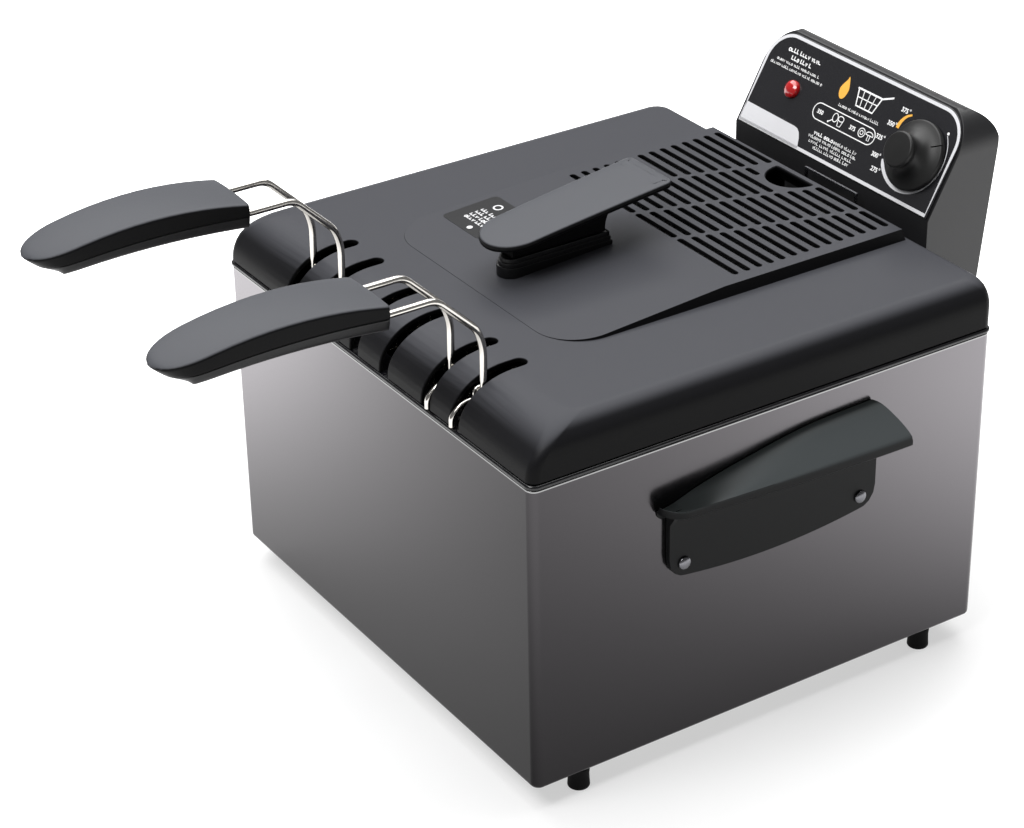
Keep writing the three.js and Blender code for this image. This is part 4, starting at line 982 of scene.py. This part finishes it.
piece("lid_grip", lid_grip(), "lid", GRIP_PLASTIC, ["lid_handle"], sharp=45)
piece("lid_grip_foot", pedestal(), "lid", BLACK_PLASTIC, ["lid_handle_base"])
for i, sy in enumerate(LID_SCREWS_Y):
    under = ramp_at(sy) - LID_WALL - GAP - 0.6 - SCREW_HIGH
    piece(f"grip_screw_{i + 1}", upturned(screw_head(shank=18), 0, sy, under), "lid", ZINC,
          [f"lid_handle_screw_{i + 1}"])
piece("screen_weave", woven_screen(), "lid", SCREEN, ["filter_screen"], sharp=80)
piece("foam_block", foam_pad(), "lid", FOAM, ["filter_pad"], sharp=60)
keep("filter_frame", BLACK_PLASTIC, bevel=0.4)


# ---------- control head ----------
def face_point(v, off=0.0):
    """(y, z) at v up the sloping face and off in front of it."""
    return (FACE_Y + v * math.sin(FACE_TILT) - off * math.cos(FACE_TILT),
            FACE_Z + v * math.cos(FACE_TILT) + off * math.sin(FACE_TILT))


def rear_point(v, off=0.0):
    return (REAR_Y + v * math.sin(REAR_TILT) + off * math.cos(REAR_TILT),
            REAR_Z + v * math.cos(REAR_TILT) - off * math.sin(REAR_TILT))


def on_face(shape, x0=0.0, v0=0.0):
    """Carries a shape made about +Z onto the sloping face, its Y up the slope."""
    return moved(shape, lambda x, y, z: (x0 + x, *face_point(v0 + y, z)))


def on_rear(shape, v0=0.0):
    """Carries a shape made about +Z onto the back, its Y up the slope and its X towards -X."""
    return moved(shape, lambda x, y, z: (-x, *rear_point(v0 + y, z)))


def head_profile(inset, back):
    """Side outline (y, z) of the head."""
    low, high = face_point(-1, -inset), face_point(FACE_LONG - inset, -inset)
    crown = arc(CROWN_Y, CROWN_Z, CROWN_R - inset, 90, 8, 16)
    lower = [rear_point(126, -inset)] if inset else []
    top, bottom = rear_point(126, back), rear_point(0, back)
    return [(low[0], HEAD_LOW + inset), low, high] + crown + lower + [top, (bottom[0], HEAD_LOW + inset)]


def head_block(inset, back):
    x = HEAD_HALF - inset
    front = arch_plan(x, HEAD_LOW - 5, CROWN_TOP - inset, CROWN_CORNER - inset, 16)
    return carve(prism_x(head_profile(inset, back), -x - 3, x + 3), prism_y(front, 140, 225),
                 how="INTERSECT")


def head_form():
    outer = softened(head_block(0, 0), 1.6, angle=32, segments=4)
    strap = block(*STRAP_X, 145, 160, *STRAP_Z)
    leg = plug(ELEMENT_R + 0.5, -162, -145)
    legs = [moved(leg, lambda x, y, z: (x + lx, -z, y + ELEMENT_OVER)) for lx in ELEMENT_LEGS]
    knob = on_face(plug(SHAFT_HOLE, -6, 3), DIAL_X, DIAL_V)
    lens = on_face(plug(LENS_R - 0.9, -6, 3), LENS_X, LENS_V)
    return carve(outer, head_block(HEAD_WALL, 6), strap, *legs, knob, lens)


def head_cover():
    inset = HEAD_WALL + GAP
    x, low, high = HEAD_HALF - inset, HEAD_LOW - REAR_Z + inset, 126 - GAP
    plate = slab(rect_plan(-x, x, low, high, 3, 6), [(0, -3), (0, -0.5), (0.15, -0.15), (0.5, 0)])
    socket = block(-INLET_HALF_X - GAP, INLET_HALF_X + GAP, INLET_V - INLET_HALF_Y - GAP,
                   INLET_V + INLET_HALF_Y + GAP, -4, 2)
    hole = [(0, -4), (BUTTON_R + GAP, -4), (BUTTON_R + GAP, -0.6), (BUTTON_R + 0.9, 0.4), (0, 0.4)]
    button = shifted(lathe(hole, 32), -BUTTON_X, BUTTON_V)
    louvres = [slab(rect_plan(20, 62, v, v + 2.4, 1.2, 4), [(0, -1.2), (0, -0.3), (-0.25, 0.3)])
               for v in (78, 84, 90, 96)]
    return on_rear(carve(plate, socket, button, *louvres))


piece("head_moulding", head_form(), "head", HEAD_PLASTIC, ["head_shell"], sharp=40)
piece("head_back", head_cover(), "head", BLACK_PLASTIC, ["rear_cover"])
for i, (sx, v) in enumerate(((-74, 14), (74, 14), (-74, 112), (74, 112))):
    piece(f"back_screw_{i + 1}", on_rear(shifted(SCREW, sx, v, 1.4)), "head", ZINC,
          [f"cover_screw_{i + 1}"])


# ---------- label ----------
DIAL_NUMBERS = (("375", 36.4, 47.1), ("350", 30.8, 37.4), ("325", 26.9, 28.1), ("300", 29.4, 18.4),
                ("275", 33.5, 11.1))
PRINT_LOW = GAP + LABEL_THICK
PRINT_HIGH = PRINT_LOW + 0.12


def label_outline(inset=0.0, low=0.0):
    return arch_plan(LABEL_HALF - inset, low, LABEL_HIGH - inset, LABEL_CORNER - inset, 12)


def label_plate():
    plate = slab(label_outline(), [(0, GAP), (0, PRINT_LOW - 0.2), (0.2, PRINT_LOW)])
    knob = shifted(plug(SHAFT_HOLE + 0.4, -1, 3), DIAL_X, DIAL_V)
    lens = shifted(plug(LENS_R + GAP, -1, 3, 32), LENS_X, LENS_V)
    return on_face(carve(plate, knob, lens))


def stroke(path, width, closed=False):
    """A printed line: a raised ribbon along (x, v) points. width is a number or a function of t."""
    count = len(path)
    rings = []
    for i, (x, v) in enumerate(path):
        ahead = path[(i + 1) % count] if closed else path[min(i + 1, count - 1)]
        behind = path[i - 1] if closed else path[max(i - 1, 0)]
        along = Vector((ahead[0] - behind[0], ahead[1] - behind[1])).normalized()
        half = (width(i / (count - 1)) if callable(width) else width) / 2
        nx, nv = -along.y * half, along.x * half
        corners = ((1, PRINT_LOW), (1, PRINT_HIGH), (-1, PRINT_HIGH), (-1, PRINT_LOW))
        rings.append([(x + s * nx, v + s * nv, z) for s, z in corners])
    return skin(rings, around=closed)


def ring_stroke(x, v, rx, rv, width, start=0, end=360, steps=24):
    """An elliptical printed line; a full turn is closed."""
    path = ellipse(x, v, rx, rv, start, end, steps)
    return stroke(path[:-1], width, closed=True) if end - start == 360 else stroke(path, width)


def patch(outline):
    return prism(outline, PRINT_LOW, PRINT_HIGH)


def dot(x, v, radius):
    return shifted(plug(radius, PRINT_LOW, PRINT_HIGH), x, v)


def silver_print():
    """Border, corner tab and the crescent that widens under the dial."""
    edge, wide = 1.5, 1.9
    border = stroke(label_outline(inset=edge, low=edge), wide, closed=True)
    tab = [(-LABEL_HALF + 1, 0.9), (-28.4, 0.9), (-28.7, 2.8), (-29.3, 4.4), (-30.2, 6.8), (-32.1, 9.7),
           (-34.5, 11.3), (-37.6, 11.8), (-LABEL_HALF + 1, 12.2)]
    tail = stroke(arc(55.5, 29.5, 22.8, 210, 402, 48),
                  lambda t: (0.4 + 1.9 * max(0.0, 1 - t * 1.25) ** 0.7) * min(1.0, 0.45 + t * 14))
    return merged(border, patch(tab), tail)


def greeked(chance, x, v, length, high, weight):
    """A line of small marks that reads as lettering from afar without spelling anything."""
    marks, at = [], x
    while at < x + length:
        word = at + chance.uniform(5, 10)
        while at < min(word, x + length):
            kind, wide = chance.randrange(4), high * chance.uniform(0.45, 0.7)
            top = v + high * (1.0 if kind == 1 else 0.72)
            if kind < 2:
                marks.append(stroke([(at, v), (at, top)], weight))
                marks.append(stroke([(at, v + weight / 2), (at + wide, v + weight / 2)], weight))
            elif kind == 2:
                marks.append(ring_stroke(at + wide / 2, (v + top) / 2, wide / 2, (top - v) / 2, weight,
                                         steps=8))
            else:
                marks.append(stroke([(at, top), (at + wide / 2, v), (at + wide, top)], weight))
            at += wide + high * 0.28
        at += high * 0.5
    return marks


def white_print():
    """Menu pill with plain food pictures, lines of stand-in lettering, a basket mark and the off dot."""
    pill = arc(19.2, 25.5, 4.7, -90, 90, 12) + arc(-24.3, 25.5, 4.7, 90, 270, 12)
    shapes = [stroke(pill, 0.55, closed=True), dot(72.5, 45.9, 0.8)]
    drumstick = [ring_stroke(-10.3, 26.4, 2.0, 2.5, 0.45), stroke([(-12.0, 24.6), (-14.3, 22.9)], 0.6),
                 dot(-14.6, 22.7, 0.6)]
    bowl = [ring_stroke(-5.6, 27.0, 2.2, 1.5, 0.45),
            stroke([(-7.7, 26.4), (-6.8, 22.6), (-4.4, 22.6), (-3.5, 26.4)], 0.45)]
    rings = [ring_stroke(13.0, 25.6, 2.6, 2.5, 0.45), ring_stroke(13.0, 25.6, 1.2, 1.1, 0.4)]
    cap = [ring_stroke(19.4, 25.9, 2.9, 2.0, 0.45, 0, 180), stroke([(16.5, 25.9), (22.3, 25.9)], 0.45),
           stroke([(18.5, 25.7), (18.6, 22.9), (20.2, 22.9), (20.3, 25.7)], 0.45)]
    shapes += drumstick + bowl + rings + cap
    basket = [stroke([(-2.5, 47), (0.2, 37.5), (14.2, 37.5), (17, 47)], 0.9),
              stroke([(-3.4, 47), (17.9, 47)], 1.0), stroke([(-1.3, 42.4), (15.8, 42.4)], 0.55),
              stroke([(17.4, 47), (25.0, 50.2)], 1.0)]
    basket += [stroke([(x, 47), (7.2 + (x - 7.2) * 0.74, 37.5)], 0.5) for x in (2.2, 7.2, 12.2)]
    shapes += basket
    chance = random.Random(5)
    lines = [(-67, 48.4, 28, 2.6, 0.62), (-62, 44.4, 18, 2.5, 0.62), (-73, 41.3, 38, 1.7, 0.3),
             (-77, 38.3, 46, 1.7, 0.3), (-12, 33.0, 34, 1.7, 0.3), (-20.7, 12.9, 15, 2.2, 0.55),
             (-3.5, 12.9, 19, 1.9, 0.32), (-24, 10.4, 41, 1.9, 0.32), (-22, 7.8, 37, 1.9, 0.32),
             (-17, 5.2, 30, 1.9, 0.32)]
    for line in lines:
        shapes += greeked(chance, *line)
    shapes += [ring_stroke(x + 3.7, v + 1.1, 0.45, 0.45, 0.28, steps=8) for _, x, v in DIAL_NUMBERS]
    return merged(*shapes)


def drop_print(x, v, size):
    """A plain oil-drop mark."""
    path = []
    for k in range(28):
        a = math.tau * k / 28
        pull = max(0.0, math.cos(a / 2)) ** 3
        path.append((x + size * 0.62 * math.sin(a) * (1 - 0.55 * max(0.0, math.cos(a))),
                     v + size * (math.cos(a) + 0.35 * pull)))
    return patch(path[::-1])


def numeral(text, x, v, size):
    """A printed number, its left end at (x, v)."""
    curve = bpy.data.curves.new("numeral", "FONT")
    curve.body = text
    curve.size = size
    curve.extrude = (PRINT_HIGH - PRINT_LOW) / 2
    curve.resolution_u = 3
    curve.offset = size * 0.022
    return shifted(evaluated(added("numeral", curve)), x, v, (PRINT_LOW + PRINT_HIGH) / 2)


piece("label_plate", label_plate(), "head", PANEL, ["label_panel"])
piece("print_silver", on_face(silver_print()), "head", SILVER)
digits = [numeral(t, x - 3.0, v - 1.35, 3.7) for t, x, v in DIAL_NUMBERS]
digits += [numeral(t, x, 24.3, 3.4) for t, x in (("350", -25.6), ("375", 2.6))]
piece("print_white", on_face(merged(white_print(), *digits)), "head", WHITE)
wedge = [(36.1, 36.6), (36.3, 38.8), (37.0, 41.0), (38.3, 43.2), (40.0, 44.9), (42.6, 46.3)]
amber = merged(stroke(wedge, lambda t: 2.5 - 1.7 * abs(t - 0.15)), drop_print(-13.0, 42.6, 5.6))
piece("print_amber", on_face(amber), "head", AMBER)


def on_plateau(shape, lift):
    """Lays a print on the lid's plateau."""
    return moved(shape, lambda x, y, z: (x, y, ramp_at(y) + z - PRINT_LOW + lift))


def decal_marks():
    """Stand-in lettering, a round mark and a dot."""
    chance = random.Random(9)
    lines = [(-71, -40.6 + 3.6 * k, 26 - 2 * k, 2.7, 0.75) for k in range(4)]
    marks = [mark for line in lines for mark in greeked(chance, *line)]
    return merged(dot(-57.6, -45.4, 1.7), ring_stroke(-67, -21, 2.6, 2.4, 1.0), *marks)


piece("decal", on_plateau(patch(rect_plan(-80, -43, -49.5, -13.5, 3, 5)), 0.02), "lid",
      DECAL)
piece("decal_marks", on_plateau(decal_marks(), 0.11), "lid", DECAL_INK)


# ---------- lamp, dial and what lies behind them ----------
def lens_form():
    """Domed lens with a ring of facets below its crown."""
    r = LENS_R
    body = lathe([(0, -5), (r - 1.4, -5), (r - 1.4, GAP), (r, GAP), (r, 2.0), (r * 0.92, 2.9),
                  (r * 0.74, 3.6), (r * 0.48, 4.2), (r * 0.2, 4.45), (0, 4.5)], 16)
    return on_face(body, LENS_X, LENS_V)


def dial_form():
    skirt, cap, high = DIAL_SKIRT, DIAL_CAP, DIAL_HIGH
    rim = [(skirt - 0.8, 1.6)] + arc(skirt - 0.9, 2.5, 0.9, 270, 360, 4)
    rim += arc(skirt - 1.1, 4.0, 1.1, 0, 80, 5)
    flare = [(17.2, 5.6), (15.3, 6.4), (13.4, 7.5), (11.8, 9.0), (10.6, 10.8), (9.9, 12.4), (9.7, 13.6),
             (9.9, 14.6)]
    crown = [(cap - 0.15, 15.4)] + arc(cap - 1.5, high - 1.9, 1.5, 0, 80, 6)
    crown += [(cap * 0.6, high - 0.3), (cap * 0.3, high - 0.05), (0, high)]
    body = lathe([(0, 1.6)] + rim + flare + crown, 72)
    c, s = math.cos(DIAL_TURN), math.sin(DIAL_TURN)
    groove = moved(block(14.0, skirt + 1, -0.35, 0.35, 4.2, 12),
                   lambda x, y, z: (x * c - y * s, x * s + y * c, z))
    return on_face(carve(body, groove, plug(3.3, 0, 12)), DIAL_X, DIAL_V)


piece("lamp_lens", lens_form(), "head", RED_LENS, ["indicator_lens"], sharp=25)
keep("neon_lamp", LAMP)
keep("thermostat", ZINC, bevel=0.5)
keep("thermal_cutout", ZINC, bevel=0.4)
keep("knob_shaft", ZINC)
piece("dial", dial_form(), "knob", DIAL_PLASTIC, ["control_knob"], sharp=40)


def inlet_form():
    hx, hy, deep = INLET_HALF_X, INLET_HALF_Y, INLET_DEEP

    def level(grow, bend, steps, layers):
        return slab(rect_plan(-hx - grow, hx + grow, -hy - grow, hy + grow, bend, steps), layers)

    outer = level(0, 1.5, 5, [(0, -deep - 2), (0, 1)])
    flange = level(2.5, 3, 6, [(0, GAP), (0, 1.4), (0.2, 1.8), (0.6, 2)])
    well = level(-2.5, 1.5, 5, [(0.2, -deep), (0, -deep + 1), (0, 1.2), (-0.4, 1.9), (-0.6, 2.5)])
    return on_rear(carve(carve(outer, flange, how="UNION"), well), INLET_V)


def pin_form(x0):
    tip = [(0, -2.5), (0.7, -2.6), (1.25, -3.1), (1.5, -4), (1.5, -INLET_DEEP - 5), (0, -INLET_DEEP - 5)]
    return on_rear(shifted(lathe(tip, 24), x0), INLET_V)


def button_form():
    r, top = BUTTON_R, BUTTON_TRAVEL + 1.5
    crown = [(0, top - 0.5), (r * 0.55, top - 0.3), (r - 0.8, top)]
    turned = lathe(crown + arc(r - 0.6, top - 0.6, 0.6, 80, 0, 4) + [(r, -4), (0, -4)], 36)
    return on_rear(shifted(turned, -BUTTON_X), BUTTON_V)


piece("inlet_socket", inlet_form(), "head", BLACK_PLASTIC, ["power_inlet"])
for i, x0 in enumerate((-7, 7)):
    piece(f"contact_pin_{i + 1}", pin_form(-x0), "head", CHROME, [f"inlet_pin_{i + 1}"])
piece("reset_cap", button_form(), "reset_button", RED_BUTTON, ["reset_button"])


# ---------- heating element ----------
def element_rod():
    low, high = ELEMENT_LEGS
    centre, inner, leg_y, reach, front = (low + high) / 2, 53.5, 128, 100, -95
    half = [(high, 168, ELEMENT_OVER), (high, leg_y, ELEMENT_OVER), (high, leg_y, ELEMENT_Z),
            (high, reach, ELEMENT_Z), (centre + 108, reach, ELEMENT_Z), (centre + 108, front, ELEMENT_Z),
            (centre + inner, front, ELEMENT_Z), (centre + inner, 60, ELEMENT_Z)]
    other = [(2 * centre - x, y, z) for x, y, z in reversed(half)]
    return tube(rounded(half + other, 9, 8), ELEMENT_R, 20)


piece("element_rod", element_rod(), "head", SHEATH, ["heating_element"])
keep("element_bracket", DARK_ZINC, bevel=0.35)


# ---------- baskets ----------
def basket_wires():
    """Woven basket: a heavy rim, hoops round the sides and U-shaped wires across both ways."""
    thin, rim = 0.85, 1.9
    levels = 12

    def loop(z, radius=12.0):
        t = (z - BASKET_LOW) / (BASKET_TOP - BASKET_LOW)
        shrink = BASKET_TAPER * (1 - t) + 3.0 * max(0.0, 1 - t * 12) + rim
        return rect_loop(BASKET_X - BASKET_HALF + shrink, BASKET_X + BASKET_HALF - shrink,
                         BASKET_FRONT + shrink, BASKET_REAR - shrink, radius, z, 6)

    parts = [tube(loop(BASKET_TOP - rim, 14), rim, 12, closed=True)]
    for k in range(levels):
        z = BASKET_LOW + 6 + (BASKET_TOP - rim - BASKET_LOW - 6) * k / levels
        parts.append(tube(loop(z), thin, 8, closed=True))
    floor = BASKET_LOW + thin
    bottom = BASKET_TAPER + 3 + rim

    def hanging(count, low, high, side_low, side_high, place):
        for k in range(count):
            at = low + (high - low) * (k + 0.5) / count
            lean = BASKET_TAPER * 0.9
            path = [(side_low, BASKET_TOP - rim), (side_low + lean, BASKET_LOW + 7),
                    (side_low + bottom, floor + 0.4), (side_high - bottom, floor + 0.4),
                    (side_high - lean, BASKET_LOW + 7), (side_high, BASKET_TOP - rim)]
            parts.append(tube(rounded([place(at, s, z) for s, z in path], 6, 4), thin, 8))

    near = rim + thin * 1.2
    left, right = BASKET_X - BASKET_HALF, BASKET_X + BASKET_HALF
    hanging(26, BASKET_FRONT + 14, BASKET_REAR - 14, left + near, right - near, lambda at, s, z: (s, at, z))
    hanging(12, left + 13, right - 13, BASKET_FRONT + near, BASKET_REAR - near,
            lambda at, s, z: (at, s, z + thin * 1.6 if z < BASKET_LOW + 3 else z))
    return merged(*parts)


def hanger_wires():
    """Two hook wires with an eye each, tied by two bars."""
    y = BASKET_FRONT - GAP - HANGER_R - 0.2
    hook_y = -HALF_Y
    parts = []
    for s in (-1, 1):
        x = BASKET_X + s * HANGER_HALF
        path = [(x, y, 112), (x, y, 196), (x, PIVOT_Y - EYE_R + 0.6, PIVOT_Z - 2), (x, -139, 202),
                (x, hook_y, 197), (x, hook_y, RIM_TOP + GAP + 0.6)]
        parts.append(tube(rounded(path, 4, 5), HANGER_R, 14))
        eye = arc(PIVOT_Y, PIVOT_Z, EYE_R - HANGER_R + 0.1, 0, 360, 28)
        ring = [(x, *point) for point in eye[:-1]]
        parts.append(tube(ring, HANGER_R - 0.35, 12, closed=True))
    for z in (114, 150):
        parts.append(tube([(BASKET_X - HANGER_HALF, y, z), (BASKET_X, y, z),
                           (BASKET_X + HANGER_HALF, y, z)], HANGER_R, 12))
    return merged(*parts)


def handle_wire():
    """The basket's wire handle: a loop from pivot to pivot whose far end lies in the grip."""
    bends = [(PIVOT_Y, PIVOT_Z), (-127, 232.5), (-130.1, 242.8), (-153.3, WIRE_EXIT_Z), (-214, WIRE_EXIT_Z)]
    side = [(WIRE_HALF - 5.4, PIVOT_Y, PIVOT_Z)] + [(WIRE_HALF, y, z) for y, z in bends]
    path = side + [(-x, y, z) for x, y, z in reversed(side)]
    return tube(rounded([(x + BASKET_X, y, z) for x, y, z in path], 5, 8), WIRE_R, 20)


# Height of a basket grip's top, seam and underside along its length, t = 0 at the rear, 1 at the tip.
def hold_top(t):
    return 272.3 + 27 * t - 31 * t * t


def hold_seam(t):
    return WIRE_EXIT_Z + 13 * t - 15.5 * t * t


def hold_bottom(t):
    return 258.2 + 14 * t - 15 * t * t + 34 * max(0.0, t - 0.9)


def hold_half(t):
    nose = max(0.0, (t - 0.78) / 0.22) ** 2.4
    return HOLD_HALF * (1 - 0.17 * t ** 1.7) * max(0.0, 1 - nose) ** (1 / 2.4)


HOLD_STEPS = [0.0, 0.004, 0.012, 0.03, 0.08, 0.15, 0.22, 0.3, 0.38, 0.46, 0.54, 0.62, 0.7, 0.78, 0.82, 0.86,
              0.89, 0.92, 0.94, 0.96, 0.975, 0.985, 0.993, 0.998, 1.0]


def hold_loft(section):
    """A grip half whose tip slants back below. section(t, half) gives (x, z) pairs at each step along it."""
    rings = []
    for t in HOLD_STEPS:
        ease = min(1.0, t / 0.012)
        half = max(hold_half(t), 2.6) - 0.9 * (1 - math.sqrt(1 - (1 - ease) ** 2))
        y = HOLD_REAR + (HOLD_TIP - HOLD_REAR) * t
        late = max(0.0, (t - 0.85) / 0.15)
        slant = 1.15 * late * late * (3 - 2 * late)
        rings.append([(BASKET_X + x, y + slant * max(0.0, hold_top(t) - 1 - z), z)
                      for x, z in section(t, half)])
    return skin(rings)


def upper_hold():
    """Upper half: near-upright sides, a crisp shoulder and a barely crowned top."""
    def section(t, half):
        top, seam = hold_top(t), hold_seam(t) + GAP / 2
        end = max(0.0, (t - 0.96) / 0.04) ** 2
        drop = 0.9 * end
        side = [(half - 0.35, seam), (half - 0.05, seam + 0.35), (half, seam + 0.9)]
        shoulder = [(half - 0.15, top - 1.9), (half - 0.5, top - 1.1), (half - 1.05, top - 0.55),
                    (half - 1.9, top - 0.25)]
        crown = [(half * 0.7, top - 0.02), (half * 0.4, top + 0.28), (0, top + 0.4)]
        right = side + [(x, z - drop) for x, z in shoulder + crown]
        return [(-x, z) for x, z in right] + right[-2::-1]
    return hold_loft(section)


def lower_hold():
    """Lower half, its underside slanting up to the tip."""
    def section(t, half):
        low, seam = hold_bottom(t), hold_seam(t) - GAP / 2
        tall = seam - low
        side = [(half - 0.5, seam), (half - 0.25, seam - 0.3), (half - 0.3, seam - 0.8)]
        under = [(half - 0.9, low + min(3.2, tall * 0.6)), (half - 1.5, low + min(1.6, tall * 0.35)),
                 (half - 2.5, low + min(0.55, tall * 0.12)), (half * 0.6, low), (0, low - 0.02)]
        right = side + [(max(x, 0.1 * k), z) for k, (x, z) in enumerate(under[::-1])][::-1]
        return right + [(-x, z) for x, z in right[-2::-1]]
    body = hold_loft(section)
    return carve(body, shifted(plug(SCREW_HEAD + GAP, 250, HOLD_RECESS), BASKET_X, HOLD_SCREW_Y))


def hold_screw():
    return upturned(screw_head(shank=8.5), BASKET_X, HOLD_SCREW_Y, HOLD_RECESS - GAP - SCREW_HIGH)


basket_parts = (
    ("basket_weave", basket_wires(), "basket", "wire_metal", BASKET_METAL, "basket"),
    ("hanger_wires", hanger_wires(), "basket", "wire_metal", CHROME, "basket_hanger"),
    ("handle_loop", handle_wire(), "handle", "wire_metal", CHROME, "handle_wire"),
    ("hold_upper", upper_hold(), "handle", "charcoal_plastic", GRIP_PLASTIC, "handle_grip_top"),
    ("hold_lower", lower_hold(), "handle", "black_plastic", BLACK_PLASTIC, "handle_grip_lower"),
    ("hold_screw", hold_screw(), "handle", "zinc_hardware", ZINC, "handle_screw"),
)
for side, flip in SIDES:
    for name, shape, body, slot, finish, cad_node in basket_parts:
        piece(f"{name}_{side}", flip(shape), f"{body}_{side}", finish, [f"{cad_node}_{side}"],
              sharp=45)


# ---------- stage, light and camera ----------
FLOOR_REACH = 6.0
# Metres from the middle where the glow starts and ends, and its strength there: the weaker glow near the
# fryer is a painted soft shadow round it.
FLOOR_GLOW_AND_SHADE = (0.22, 0.60, 0.54, 1.6)


def stage_floor():
    """Pale floor that glows more the farther it lies from the fryer, the dimmer glow close to it being a
    painted soft shadow.
    """
    mesh = bpy.data.meshes.new("floor")
    corners = [(x * FLOOR_REACH, y * FLOOR_REACH, 0) for x, y in ((-1, -1), (1, -1), (1, 1), (-1, 1))]
    mesh.from_pydata(corners, [], [(0, 1, 2, 3)])
    paint = look("studio_white", (0.42, 0.42, 0.42), 0.7, (0, 0.5, 0.01, 0), Specular_IOR_Level=0.1)
    paint.cycles.emission_sampling = "NONE"
    distance = node(paint, "VectorMath", "Value", {0: node(paint, "TexCoord", "Object")},
                    operation="LENGTH")
    limits = dict(zip(("From Min", "From Max", "To Min", "To Max"), FLOOR_GLOW_AND_SHADE))
    glow_and_shade = node(paint, "MapRange", "Result", {**limits, "Value": distance}, interpolation_type="SMOOTHSTEP")
    feed(paint, "Emission Strength", glow_and_shade)
    paint.node_tree.nodes["Principled BSDF"].inputs["Emission Color"].default_value = (1, 1, 1, 1)
    mesh.materials.append(paint)
    added("floor", mesh)


def softbox(name, at, target, size, power):
    """A square or oblong area light at a place, turned towards a target."""
    light = bpy.data.lights.new(name, "AREA")
    light.shape = "RECTANGLE"
    light.size, light.size_y = size
    light.energy = power
    made = added(name, light)
    made.location = at
    made.rotation_euler = (Vector(target) - Vector(at)).to_track_quat("-Z", "Y").to_euler()


def camera():
    """Three-quarter view from the front right, with a small roll."""
    azimuth, elevation, roll = math.radians(57.42), math.radians(29.22), math.radians(-1.144)
    place, focal, sensor = (1.1018, -0.7143, 0.8657), 98.13, 36.0
    back = Vector((math.sin(azimuth) * math.cos(elevation), -math.cos(azimuth) * math.cos(elevation),
                   math.sin(elevation)))
    right = Vector((math.cos(azimuth), math.sin(azimuth), 0))
    up = back.cross(right)
    turned_right = right * math.cos(roll) + up * math.sin(roll)
    turned_up = up * math.cos(roll) - right * math.sin(roll)
    data = bpy.data.cameras.new("photo_camera")
    data.lens, data.sensor_width = focal, sensor
    made = added("photo_camera", data)
    axes = Matrix((turned_right, turned_up, back)).transposed().to_4x4()
    made.matrix_world = Matrix.Translation(place) @ axes
    bpy.context.scene.camera = made


for leftover in [o for o in bpy.data.objects if o.name in ("Cube", "Light", "Camera")]:
    bpy.data.objects.remove(leftover)
stage_floor()
camera()
softbox("key", (-0.66, 0.42, 1.84), (0, 0, 0.2), (2.3, 2.3), 78)
softbox("front_top", (0.15, -1.1, 1.9), (0, 0.1, 0.2), (0.9, 0.9), 28)
world = bpy.data.worlds.new("studio")
world.use_nodes = True
world.node_tree.nodes["Background"].inputs["Color"].default_value = (1, 1, 1, 1)
world.node_tree.nodes["Background"].inputs["Strength"].default_value = 0.27
bpy.context.scene.world = world
bpy.context.scene.view_settings.view_transform = "Standard"
